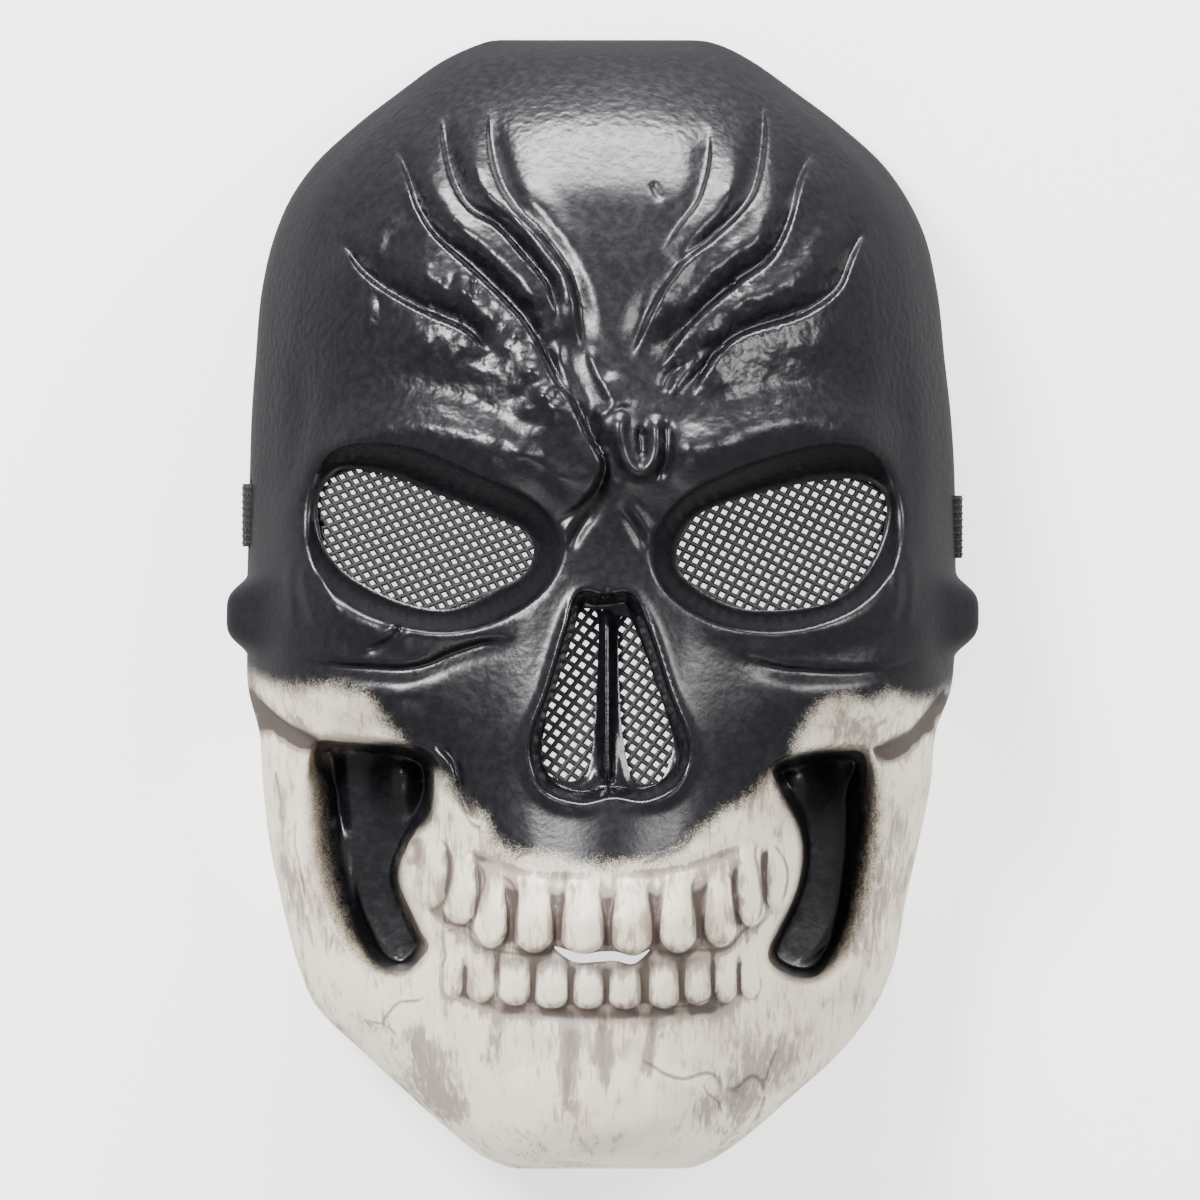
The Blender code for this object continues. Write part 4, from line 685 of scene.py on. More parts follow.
def lumps(x: Array, y: Array, size: float, seed: int) -> Array:
    """Soft random lumps.

    Args:
        x: places along X in mm.
        y: places along Y in mm.
        size: distance from lump to lump in mm.
        seed: seed of the lumps.

    Returns:
        Heights from -1 to 1.
    """
    lattice = np.random.default_rng(seed).random((257, 257)) * 2.0 - 1.0
    u, v = x / size + 128.0, y / size + 128.0
    column, row = np.floor(u).astype(int) % 256, np.floor(v).astype(int) % 256
    p, q = smooth_step(u - np.floor(u)), smooth_step(v - np.floor(v))
    low = lattice[row, column] * (1 - p) + lattice[row, column + 1] * p
    high = lattice[row + 1, column] * (1 - p) + lattice[row + 1, column + 1] * p
    return low * (1 - q) + high * q


def blur(grid: Array, passes: int) -> Array:
    """Evens a grid out while its border stays."""
    for _ in range(passes):
        around = grid[:-2, 1:-1] + grid[2:, 1:-1] + grid[1:-1, :-2] + grid[1:-1, 2:]
        inner = (grid[1:-1, 1:-1] * 4 + around) / 8
        grid = grid.copy()
        grid[1:-1, 1:-1] = inner
    return grid


def eroded(grid: Array, passes: int) -> Array:
    """Each value becomes the lowest of its neighbours, again and again."""
    for _ in range(passes):
        lowest = np.minimum.reduce([grid[1:-1, 1:-1], grid[:-2, 1:-1], grid[2:, 1:-1], grid[1:-1, :-2],
                                    grid[1:-1, 2:]])
        grid = grid.copy()
        grid[1:-1, 1:-1] = lowest
    return grid


def grid_normals(x: Array, y: Array, z: Array) -> Array:
    """Unit normals of a grid of points."""
    points = np.stack([x, y, z], axis=2)
    normal = np.cross(np.gradient(points, axis=1), np.gradient(points, axis=0))
    return normal / np.maximum(np.linalg.norm(normal, axis=2, keepdims=True), 1e-9)


@dataclass(frozen=True)
class FrontView:
    """Turns points of the front view into millimetres of the mask."""

    units: float = 4.0
    middle: float = 605.0
    eye_line: float = 603.0

    def place(self, points: Points) -> Array:
        """Points of the front view as an array of millimetres."""
        array = np.array(points, dtype=float)
        return np.stack([array[:, 0] - self.middle, self.eye_line - array[:, 1]], axis=1) / self.units

    def curve(self, points: Points, closed: bool = False, steps: int = 6) -> Array:
        """A rounded path through points of the front view."""
        return rounded_path(self.place(points), closed, steps)


VIEW = FrontView()


def seat_height(seat: Plane, x: Array, y: Array) -> Array:
    """Height of a net's seat, at the outer skin."""
    return seat.z + seat.slope_x * (np.abs(x) - seat.from_x) + seat.slope_y * (y - seat.from_y)


@dataclass
class FaceForm:
    """The sculpted form of the moulding, as grids of points in mm.

    The plain form is lofted from the cross-sections, the relief is laid on it, and the eye sockets,
    the nose opening and the hollows of the cheeks are carved into it.
    """

    rows: int = 500
    columns: int = 350
    end_crowding: float = 0.55
    wall: float = 2.0
    hollow_floor: float = 23.0
    hollow_follows: float = 0.24
    knob_solid: float = 0.6
    cavity_passes: int = 44
    cavity: Array = field(default_factory=lambda: np.zeros((1, 1)))

    def crowd(self, count: int) -> Array:
        """Shares from -1 to 1, closer together towards both ends."""
        even = np.linspace(-1.0, 1.0, count)
        return (1 - self.end_crowding) * even + self.end_crowding * np.sin(even * math.pi / 2)

    @staticmethod
    def rise_angle(y: Array) -> Array:
        """Angle of a cross-section as seen from the side, a quarter turn at the top and at the chin."""
        share = np.where(y > 0, y / MASK_TOP, -y / MASK_BOTTOM)
        return np.arcsin(np.clip(share, -1.0, 1.0))

    def base(self) -> tuple[Array, Array, Array, Array]:
        """The plain form: grids of x, y and height, and the shares of the half width."""
        reach = self.crowd(self.rows)
        y = np.where(reach > 0, reach * MASK_TOP, -reach * MASK_BOTTOM)
        sections = self.sections_at(y)
        left, right = sections[:, 0], sections[:, 1]
        share = self.crowd(self.columns)
        half = np.where(share[None, :] < 0, left[:, None], right[:, None])
        rim = np.maximum(sections[:, 2], FEET)
        stations = np.concatenate([sections[:, 3:], rim[:, None]], axis=1)
        knots = np.arcsin(np.array(SHARES))
        height = cubic_curve(knots, stations.T, np.arcsin(np.abs(share)), level_start=True, monotone=True).T
        return share[None, :] * half, np.repeat(y[:, None], self.columns, axis=1), height, share

    def sections_at(self, y: Array) -> Array:
        """Half widths to the left and to the right, rim height and heights of the skin at some places."""
        table = np.array(SECTIONS)
        table = table[np.argsort(table[:, 0])]
        return cubic_curve(self.rise_angle(table[:, 0]), table[:, 1:], self.rise_angle(y))

    def cavity_at(self, x: Array, y: Array) -> Array:
        """How deep a place lies in a furrow, in mm, as read from the finished skin."""
        reach = self.crowd(self.rows)
        levels = np.where(reach > 0, reach * MASK_TOP, -reach * MASK_BOTTOM)
        sections = self.sections_at(y)
        share = x / np.where(x < 0, sections[:, 0], sections[:, 1])
        row = np.interp(y, levels, np.arange(self.rows))
        column = np.interp(share, self.crowd(self.columns), np.arange(self.columns))
        low_row = np.clip(row.astype(int), 0, self.rows - 2)
        low_column = np.clip(column.astype(int), 0, self.columns - 2)
        v, u = row - low_row, column - low_column
        grid = self.cavity
        near = grid[low_row, low_column] * (1 - u) + grid[low_row, low_column + 1] * u
        far = grid[low_row + 1, low_column] * (1 - u) + grid[low_row + 1, low_column + 1] * u
        return near * (1 - v) + far * v

    @staticmethod
    def fold(fold: Fold, x: Array, y: Array) -> Array:
        """A crisp lip with its roll on one side and a narrow valley on the other."""
        path = VIEW.curve(fold.path)
        relief = np.zeros(x.shape)
        near = window(path, 2.6 * max(fold.valley, fold.roll), x, y)
        distance, share = near_path(path, x[near], y[near])
        distance = distance * fold.side
        lip = fold.lip * np.exp(-(np.minimum(distance + 0.5, 0.0) / fold.roll) ** 2)
        valley = -fold.depth * np.exp(-(np.maximum(distance - 0.9, 0.0) / fold.valley) ** 2)
        cut = smooth_step((distance + 0.5) / 1.4)
        relief[near] = (valley * cut + lip * (1.0 - cut)) * end_fade(share, fold.fade)
        return relief

    @staticmethod
    def ridge(ridge: Ridge, x: Array, y: Array) -> Array:
        """A rounded roll, with lumps along it where it has any."""
        path = VIEW.curve(ridge.path)
        relief = np.zeros(x.shape)
        near = window(path, 2.6 * ridge.width, x, y)
        px, py = x[near], y[near]
        distance, share = near_path(path, px, py)
        height = ridge.height * (1.0 + 0.4 * ridge.lumpy * lumps(px, py, 3.2, 11))
        relief[near] = height * np.exp(-(distance / ridge.width) ** 2) * end_fade(share, ridge.fade)
        return relief

    @staticmethod
    def blob(blob: Blob, x: Array, y: Array) -> Array:
        """A rounded swelling."""
        centre = VIEW.place([(blob.at_x, blob.at_y)])[0]
        across = (x - centre[0]) / blob.half_width
        up = (y - centre[1]) / blob.half_height
        return blob.rise * np.exp(-across ** 2 - up ** 2)

    @staticmethod
    def tooth(tooth: Tooth, x: Array, y: Array) -> Array:
        """A crown: round across, drawn in at its neck, full below, and cut off round at its edge."""
        (left, top), (right, bottom) = VIEW.place([(tooth.left, tooth.top), (tooth.right, tooth.bottom)])
        down = (top - y) / (top - bottom)
        half = (right - left) / 2 * (1.0 - tooth.neck * smooth_step(1.0 - down / 0.6))
        across = np.abs(x - (left + right) / 2) / half
        crown = np.clip(1.0 - across ** 2.2, 0.0, 1.0) ** 0.7
        low_edge = smooth_step((1.04 - down - 0.20 * across ** 2) / 0.16)
        high_edge = smooth_step((down + 0.30) / 0.85)
        return tooth.rise * crown * low_edge * high_edge

    def relief(self, x: Array, y: Array) -> Array:
        """Folds, rolls, swellings and teeth as one height over the plain form."""
        relief = np.zeros(x.shape)
        for fold in FOLDS:
            relief += self.fold(fold, x, y)
        for ridge in RIDGES:
            relief += self.ridge(ridge, x, y)
        for blob in BLOBS:
            relief += self.blob(blob, x, y)
        teeth = np.zeros(x.shape)
        for tooth in TEETH:
            teeth = np.maximum(teeth, self.tooth(tooth, x, y))
        return relief + teeth

    @staticmethod
    def between(inner: Array, outer: Array, grow: float, x: Array, y: Array) -> Array:
        """0 on and inside the inner outline, 1 on and outside the outer one, which can be grown."""
        past = np.maximum(-inside_outline(inner, x, y), 0.0)
        ahead = np.maximum(inside_outline(outer, x, y) + grow, 0.0)
        return past / np.maximum(past + ahead, 1e-6)

    def carve(self, height: Array, x: Array, y: Array, wall: float = 0.0) -> Array:
        """Sinks the sockets, the hollows and the nose opening into a skin.

        Args:
            height: heights of the skin.
            x: its places along X.
            y: its places along Y.
            wall: the wall's thickness for the inner skin, which lies lower and is carved wider.

        Returns:
            The carved heights.
        """
        height = height.copy()
        for hole, socket in ((LEFT_EYE, LEFT_SOCKET), (RIGHT_EYE, RIGHT_SOCKET)):
            hole_path, socket_path = VIEW.curve(hole, True), VIEW.curve(socket, True)
            near = window(socket_path, 1.0 + wall, x, y)
            share = self.between(hole_path, socket_path, wall, x[near], y[near])
            target = seat_height(EYE_SEAT, x[near], y[near]) - wall
            height[near] += (target - height[near]) * (1.0 - smooth_step((share - 0.12) / 0.88))
        for hollow in (LEFT_HOLLOW, RIGHT_HOLLOW):
            path = VIEW.curve(hollow, True)
            near = window(path, 8.0 + wall, x, y)
            px, py = x[near], y[near]
            edge = 3.0 + 4.5 * smooth_step((np.abs(px) - 52.0) / 12.0) * smooth_step((-38.0 - py) / 12.0)
            depth = inside_outline(path, px, py) + wall
            floor = (self.hollow_floor
                     + self.hollow_follows * (height[near] + wall - self.hollow_floor) - wall)
            height[near] += (floor - height[near]) * smooth_step((depth + edge * 0.45) / (edge * 1.45))
        path = VIEW.curve(NOSE_RIM, True)
        near = window(path, 3.2 + wall, x, y)
        depth = inside_outline(path, x[near], y[near]) + wall
        target = seat_height(NOSE_SEAT, x[near], y[near]) - wall
        height[near] += (target - height[near]) * smooth_step((depth + 1.1) / 3.2)
        return height

    def round_lips(self, height: Array, x: Array, y: Array) -> Array:
        """Turns the skin down a little round each opening."""
        for outline, reach, drop in ((LEFT_EYE, 1.5, 1.1), (RIGHT_EYE, 1.5, 1.1), (LEFT_NOSTRIL, 0.9, 0.7),
                                     (RIGHT_NOSTRIL, 0.9, 0.7), (MOUTH_SLIT, 0.6, 0.5)):
            path = VIEW.curve(outline, True)
            near = window(path, 3 * reach, x, y)
            away = np.maximum(-inside_outline(path, x[near], y[near]), 0.0)
            height[near] -= drop * np.exp(-(away / reach) ** 2)
        return height

    @staticmethod
    def knobs(x: Array, y: Array, z: Array) -> Array:
        """How far each side wall swells outwards beside the cheek, the widest place of the mask."""
        swell = 7.0 * np.exp(-((y + 2.9) / 8.6) ** 4 - ((z - 24.0) / 12.0) ** 2)
        return np.sign(x) * swell * smooth_step((np.abs(x) - 66.0) / 14.0)

    def skins(self) -> tuple[Array, Array]:
        """Outer and inner skin of the moulding as grids of points."""
        x, y, plain, share = self.base()
        to_side = smooth_step((1.0 - np.abs(share)) / 0.06)[None, :]
        to_end = smooth_step(np.minimum(MASK_TOP - y, y - MASK_BOTTOM) / 4.0)
        relief = self.relief(x, y) * to_side * to_end
        z = self.carve(plain + relief, x, y)
        for ridge in NOSE_RIDGES:
            z = z + self.ridge(ridge, x, y)
        for blob in HOLLOW_LUMPS:
            z = z + self.blob(blob, x, y)
        z = self.round_lips(z, x, y)
        # How far each place lies below its blurred surroundings; the paint darkens these furrows as painted
        # shade and wash.
        self.cavity = blur(z, self.cavity_passes) - z
        knobs = self.knobs(x, y, z)
        outer = np.stack([x + knobs, y, z], axis=2)

        low = plain + np.minimum(blur(eroded(relief, 5), 24), relief)
        normal = grid_normals(x, y, blur(plain + blur(relief, 80), 30))
        edge = np.zeros(z.shape, dtype=bool)
        edge[0, :] = edge[-1, :] = edge[:, 0] = edge[:, -1] = True
        normal[edge, 2] = 0.0
        normal[0, :, 1], normal[-1, :, 1] = -np.abs(normal[0, :, 1]), np.abs(normal[-1, :, 1])
        normal /= np.maximum(np.linalg.norm(normal, axis=2, keepdims=True), 1e-9)
        inner = np.stack([x, y, low], axis=2) - self.wall * normal
        inner[..., 2] = self.carve(inner[..., 2], inner[..., 0], inner[..., 1], self.wall)
        inner[..., 2] = np.minimum(inner[..., 2], z - 0.7 * self.wall)
        inner[..., 0] += (1.0 - self.knob_solid) * knobs
        inner[edge, 2] = z[edge]
        return outer, inner


@dataclass
class NodeBench:
    """Builds one node tree, with its nodes laid out in a row."""

    tree: bpy.types.NodeTree
    step: int = 0

    def add(self, kind: str, **values: object) -> bpy.types.Node:
        """A new node with its properties set."""
        node = self.tree.nodes.new(kind)
        node.location = (200 * (self.step % 12), -260 * (self.step // 12))
        self.step += 1
        for name, value in values.items():
            setattr(node, name, value)
        return node

    def feed(self, socket: bpy.types.NodeSocket, value: object) -> None:
        """Links an output to a socket, or sets the socket to a number or colour."""
        if isinstance(value, bpy.types.NodeSocket):
            self.tree.links.new(value, socket)
        elif value is not None:
            socket.default_value = value

    def maths(self, operation: str, *values: object, clamp: bool = False) -> bpy.types.NodeSocket:
        """A Math node fed with numbers or sockets."""
        kind = "ShaderNodeMath"
        node = self.add(kind, operation=operation, use_clamp=clamp)
        for socket, value in zip(node.inputs, values):
            self.feed(socket, value)
        return node.outputs[0]

    def attribute(self, name: str) -> bpy.types.NodeSocket:
        """A named number of the surface."""
        return self.add("ShaderNodeAttribute", attribute_name=name).outputs["Fac"]

    def stretch(self, scale: tuple[float, float, float]) -> bpy.types.NodeSocket:
        """Object coordinates, stretched."""
        mapping = self.add("ShaderNodeMapping")
        mapping.inputs["Scale"].default_value = scale
        self.feed(mapping.inputs["Vector"], self.add("ShaderNodeTexCoord").outputs["Object"])
        return mapping.outputs[0]

    def noise(self, place: object, scale: float, detail: float = 2.0, rough: float = 0.5,
              bend: float = 0.0) -> bpy.types.NodeSocket:
        """Noise at a place, 0 to 1."""
        node = self.add("ShaderNodeTexNoise")
        self.feed(node.inputs["Vector"], place)
        for name, value in (("Scale", scale), ("Detail", detail),
                            ("Roughness", rough), ("Distortion", bend)):
            node.inputs[name].default_value = value
        return node.outputs["Fac"]

    def ramp(self, value: object, low: float, high: float, to_low: float = 0.0, to_high: float = 1.0,
             smooth: bool = True) -> bpy.types.NodeSocket:
        """Maps a range onto another, clamped."""
        node = self.add("ShaderNodeMapRange", clamp=True)
        node.interpolation_type = "SMOOTHSTEP" if smooth else "LINEAR"
        for name, number in (("From Min", low), ("From Max", high), ("To Min", to_low), ("To Max", to_high)):
            node.inputs[name].default_value = number
        self.feed(node.inputs["Value"], value)
        return node.outputs["Result"]

    def mix(self, share: object, first: object, second: object) -> bpy.types.NodeSocket:
        """Mixes two colours."""
        node = self.add("ShaderNodeMix", data_type="RGBA")
        self.feed(node.inputs[0], share)
        self.feed(node.inputs[6], first)
        self.feed(node.inputs[7], second)
        return node.outputs[2]

    def bump(self, height: object, distance: float, strength: float, under: object = None
             ) -> bpy.types.NodeSocket:
        """A bump of some metres, over another where one is given."""
        node = self.add("ShaderNodeBump")
        node.inputs["Strength"].default_value = strength
        node.inputs["Distance"].default_value = distance
        self.feed(node.inputs["Height"], height)
        if under is not None:
            self.feed(node.inputs["Normal"], under)
        return node.outputs["Normal"]


def new_finish(name: str) -> tuple[bpy.types.Material, NodeBench, bpy.types.Node]:
    """A material, the bench for its nodes, and its shader."""
    material = bpy.data.materials.new(name)
    material.use_nodes = True
    bench = NodeBench(material.node_tree)
    return material, bench, material.node_tree.nodes["Principled BSDF"]


@dataclass(frozen=True)
class PaintedPlastic:
    """Satin black airbrushed over bone-coloured plastic, with a brown wash and painted shade darkening its
    cavities.
    """

    black: tuple[float, float, float, float] = (0.0040, 0.0037, 0.0058, 1.0)
    black_light: tuple[float, float, float, float] = (0.0080, 0.0076, 0.0110, 1.0)
    bone: tuple[float, float, float, float] = (0.87, 0.785, 0.635, 1.0)
    bone_warm: tuple[float, float, float, float] = (0.76, 0.65, 0.50, 1.0)
    wash_and_shade: tuple[float, float, float, float] = (0.31, 0.245, 0.205, 1.0)
    dark: tuple[float, float, float, float] = (0.060, 0.045, 0.036, 1.0)

    def material(self) -> bpy.types.Material:
        """Builds the finish from the surface's own numbers and Object coordinates."""
        material, bench, shader = new_finish("painted_plastic_outside")
        place = bench.stretch((1.0, 1.0, 1.0))
        speckle = bench.noise(place, 2400.0, 3.0, 0.65)
        coarse = bench.noise(place, 420.0, 4.0, 0.6)
        broad = bench.noise(place, 60.0, 3.0, 0.5)
        streaky = bench.noise(bench.stretch((1.0, 0.22, 0.4)), 620.0, 4.0, 0.62, 0.6)

        edge = bench.maths("ADD", bench.attribute("bone_edge"),
                           bench.maths("MULTIPLY", bench.maths("SUBTRACT", speckle, 0.5), 2.2))
        edge = bench.maths("ADD", edge, bench.maths("MULTIPLY", bench.maths("SUBTRACT", coarse, 0.5), 0.8))
        bone_share = bench.ramp(edge, -0.75, 0.75)

        wash_and_shade = bench.maths("ADD", bench.attribute("wash_and_shade"),
                           bench.maths("MULTIPLY", bench.maths("SUBTRACT", streaky, 0.51), 2.6))
        wash_and_shade = bench.maths("ADD", wash_and_shade, bench.maths("MULTIPLY", bench.maths("SUBTRACT", broad, 0.46), 1.5))
        # Painted shade with the wash: every furrow of the relief, read from the cavity number, is darkened
        # towards brown and near-black.
        furrow = bench.attribute("cavity")
        wash_and_shade = bench.maths("ADD", wash_and_shade, bench.ramp(furrow, 0.02, 0.45, 0.0, 0.75))
        wash_and_shade_share = bench.ramp(wash_and_shade, 0.0, 0.80, 0.0, 0.92)
        deep = bench.maths("ADD", bench.attribute("deep"), bench.ramp(furrow, 0.12, 0.75, 0.0, 1.1))
        deep = bench.maths("ADD", deep, bench.maths("MULTIPLY", bench.maths("SUBTRACT", streaky, 0.5), 0.8))
        deep_share = bench.ramp(deep, 0.35, 1.15, 0.0, 0.92)
        line = bench.maths("ABSOLUTE", bench.attribute("crack"))
        line = bench.maths(
            "SUBTRACT", line, bench.maths("MULTIPLY", bench.maths("SUBTRACT", coarse, 0.5), 0.35))
        line_share = bench.maths(
            "MULTIPLY", bench.ramp(line, 0.10, 0.70, 0.68, 0.0), bench.attribute("crack_near"))

        bone = bench.mix(bench.ramp(broad, 0.4, 0.7), self.bone, self.bone_warm)
        bone = bench.mix(wash_and_shade_share, bone, self.wash_and_shade)
        bone = bench.mix(deep_share, bone, self.dark)
        bone = bench.mix(line_share, bone, self.dark)
        black = bench.mix(bench.ramp(coarse, 0.35, 0.75), self.black, self.black_light)
        bench.feed(shader.inputs["Base Color"], bench.mix(bone_share, black, bone))

        gloss = bench.attribute("gloss")
        rough_black = bench.maths("SUBTRACT", bench.ramp(coarse, 0.3, 0.7, 0.30, 0.38),
                                  bench.maths("MULTIPLY", gloss, 0.13))
        rough = bench.add("ShaderNodeMix", data_type="FLOAT")
        bench.feed(rough.inputs[0], bone_share)
        bench.feed(rough.inputs[2], rough_black)
        rough.inputs[3].default_value = 0.46
        bench.feed(shader.inputs["Roughness"], rough.outputs[0])
        shader.inputs["Specular IOR Level"].default_value = 0.5

        leather = bench.attribute("leather")
        lump = bench.noise(place, 430.0, 1.0, 0.4)
        peel = bench.noise(place, 900.0, 1.0, 0.5)
        height = bench.maths("MULTIPLY", bench.maths("MULTIPLY", lump, 0.00034), leather)
        height = bench.maths("ADD", height, bench.maths("MULTIPLY", peel, 0.00004))
        height = bench.maths(
            "SUBTRACT", height, bench.maths("MULTIPLY", bench.attribute("crack_near"), 0.00005))
        bench.feed(shader.inputs["Normal"], bench.bump(height, 1.0, 1.0))
        return material


@dataclass(frozen=True)
class PlainPlastic:
    """Bare black plastic, as on the inside of the moulding and at its cut edges."""

    name: str
    colour: tuple[float, float, float, float]
    roughness: float

    def material(self) -> bpy.types.Material:
        """Builds the finish."""
        material, bench, shader = new_finish(self.name)
        place = bench.stretch((1.0, 1.0, 1.0))
        cloud = bench.noise(place, 90.0, 4.0, 0.6)
        lighter = tuple(1.5 * part for part in self.colour[:3]) + (1.0,)
        bench.feed(shader.inputs["Base Color"],
                   bench.mix(bench.ramp(cloud, 0.35, 0.7), self.colour, lighter))
        bench.feed(shader.inputs["Roughness"],
                   bench.ramp(cloud, 0.3, 0.7, self.roughness - 0.05, self.roughness + 0.05))
        bench.feed(shader.inputs["Normal"], bench.bump(bench.noise(place, 1300.0, 2.0), 0.0002, 0.4))
        return material


@dataclass(frozen=True)
class NetCoat:
    """The black coat of the net's strands."""

    colour: tuple[float, float, float, float] = (0.008, 0.008, 0.009, 1.0)

    def material(self) -> bpy.types.Material:
        """Builds the finish."""
        material, bench, shader = new_finish("black_net_coat")
        place = bench.stretch((1.0, 1.0, 1.0))
        grain = bench.noise(place, 2600.0, 3.0, 0.6)
        bench.feed(shader.inputs["Base Color"],
                   bench.mix(bench.ramp(grain, 0.4, 0.75), self.colour, (0.022, 0.022, 0.024, 1.0)))
        bench.feed(shader.inputs["Roughness"], bench.ramp(grain, 0.3, 0.7, 0.42, 0.6))
        bench.feed(shader.inputs["Normal"], bench.bump(grain, 0.0001, 0.5))
        return material


@dataclass(frozen=True)
class Elastic:
    """Ribbed black elastic: threads across the band, and dull cotton between its rubber ribs."""

    colour: tuple[float, float, float, float] = (0.010, 0.010, 0.0095, 1.0)
    thread: tuple[float, float, float, float] = (0.045, 0.044, 0.040, 1.0)

    def material(self) -> bpy.types.Material:
        """Builds the finish along the band's own UV map, whose units are metres."""
        material, bench, shader = new_finish("black_elastic_weave")
        uv = bench.add("ShaderNodeUVMap", uv_map="along")
        split = bench.add("ShaderNodeSeparateXYZ")
        bench.feed(split.inputs[0], uv.outputs[0])
        along = bench.maths("SINE", bench.maths("MULTIPLY", split.outputs[0], 2 * math.pi / 0.00075))
        across = bench.maths("SINE", bench.maths("MULTIPLY", split.outputs[1], 2 * math.pi / 0.00058))
        weave = bench.maths("MULTIPLY", along, across)
        fuzz = bench.noise(bench.stretch((1.0, 1.0, 1.0)), 1900.0, 3.0, 0.7)
        share = bench.ramp(bench.maths("ADD", bench.maths("MULTIPLY", weave, 0.5), fuzz), 0.45, 1.0)
        bench.feed(shader.inputs["Base Color"], bench.mix(share, self.colour, self.thread))
        shader.inputs["Roughness"].default_value = 0.88
        shader.inputs["Sheen Weight"].default_value = 0.15
        shader.inputs["Sheen Roughness"].default_value = 0.5
        bench.feed(shader.inputs["Normal"], bench.bump(bench.maths("ADD", weave, fuzz), 0.00025, 0.8))
        return material


@dataclass
class PaintPlan:
    """Where the paint, the wash, the painted shade, the cracks and the grain lie, as numbers of the surface.
    """

    form: FaceForm

    def bone_edge(self, x: Array, y: Array) -> Array:
        """How far a place is into the bone colour, as a share of the airbrushed edge's half width."""
        top = -inside_outline(VIEW.curve(BLACK_TOP, True, 3), x, y) / AIRBRUSH_TOP
        edge = top + 0.35 * lumps(x, y, 6.0, 3)
        for outline in (BLACK_HOLLOW_LEFT, BLACK_HOLLOW_RIGHT):
            path = VIEW.curve(outline, True)
            near = window(path, 12.0, x, y)
            hollow = -inside_outline(path, x[near], y[near])
            broad = 1.0 + 1.6 * smooth_step((np.abs(x[near]) - 56.0) / 10.0)
            edge[near] = np.minimum(edge[near], hollow / (AIRBRUSH_HOLLOW * broad))
        return np.clip(edge, -4.0, 4.0)

    def stains_and_shade(self, x: Array, y: Array) -> Array:
        """The brown wash along its paths, with the painted shade under the cheekbones."""
        total = np.zeros(x.shape)
        for stroke in STAINS_AND_SHADE:
            path = VIEW.curve(stroke.path)
            near = window(path, 2.4 * stroke.width, x, y)
            distance, share = near_path(path, x[near], y[near])
            total[near] += stroke.strength * np.exp(-(distance / stroke.width) ** 2) * end_fade(share, 0.2)
        return total

    def cracks(self, x: Array, y: Array) -> tuple[Array, Array]:
        """Signed distance to the nearest crack in quarter millimetres, and how near one is."""
        line = np.full(x.shape, 8.0)
        near_one = np.zeros(x.shape)
        for crack in CRACKS:
            path = VIEW.curve(crack.path, steps=3)
            near = np.nonzero(window(path, 3.0, x, y))[0]
            distance, share = near_path(path, x[near], y[near])
            weight = crack.dark * np.exp(-(distance / 1.3) ** 2) * end_fade(share, 0.15)
            better = weight > near_one[near]
            line[near[better]] = distance[better] * (0.25 / crack.width)
            near_one[near[better]] = weight[better]
        return line, np.clip(near_one * 1.6, 0.0, 1.0)

    def leather(self, x: Array, y: Array) -> Array:
        """How strong the grain is: strong on the brow and the temples, faint on the bone."""
        brow = np.exp(-((y - 62.0) / 34.0) ** 2) * (0.35 + 0.65 * smooth_step((np.abs(x) - 6.0) / 20.0))
        crown = 0.7 * np.exp(-((y - 122.0) / 16.0) ** 2)
        cheek = 0.28 * np.exp(-((y + 12.0) / 22.0) ** 2)
        jaw = 0.10 * smooth_step((-30.0 - y) / 10.0)
        return np.clip(brow + crown + cheek + jaw, 0.05, 1.0)

    def gloss(self, x: Array, y: Array) -> Array:
        """How glossy the black is: the nose is the glossiest, the left half a little more than the right."""
        nose = smooth_step((inside_outline(VIEW.curve(NOSE_RIM, True), x, y) + 2.5) / 2.0)
        return np.clip(nose + 0.25 * smooth_step((10.0 - x) / 40.0), 0.0, 1.0)

    def dress(self, mesh: bpy.types.Mesh) -> None:
        """Writes every number to the mesh's points."""
        points = np.empty(len(mesh.vertices) * 3)
        mesh.vertices.foreach_get("co", points)
        x, y, _ = (points.reshape(-1, 3) / MM).T
        line, near_one = self.cracks(x, y)
        stains_and_shade = self.stains_and_shade(x, y)
        numbers = {
            "bone_edge": self.bone_edge(x, y),
            # The wash number also carries the painted shade under the cheekbones.
            "wash_and_shade": np.clip(stains_and_shade, 0.0, 1.0) + 0.10 * lumps(x, y, 9.0, 5),
            "deep": stains_and_shade - 0.35,
            "crack": line,
            "crack_near": near_one,
            "leather": self.leather(x, y),
            "gloss": self.gloss(x, y),
            "cavity": self.form.cavity_at(x, y),
        }
        for name, values in numbers.items():
            layer = mesh.attributes.new(name, "FLOAT", "POINT")
            layer.data.foreach_set("value", values.astype(np.float32))


def new_object(name: str, mesh: bpy.types.Mesh) -> bpy.types.Object:
    """An object of its own in the scene."""
    thing = bpy.data.objects.new(name, mesh)
    bpy.context.scene.collection.objects.link(thing)
    return thing


def baked(thing: bpy.types.Object, name: str) -> bpy.types.Object:
    """Turns an object with its modifiers into a plain one.

    Args:
        thing: the object, which is removed.
        name: the name of the plain one.

    Returns:
        The plain object.
    """
    graph = bpy.context.evaluated_depsgraph_get()
    mesh = bpy.data.meshes.new_from_object(thing.evaluated_get(graph), depsgraph=graph)
    mesh.name = name
    bpy.data.objects.remove(thing)
    return new_object(name, mesh)


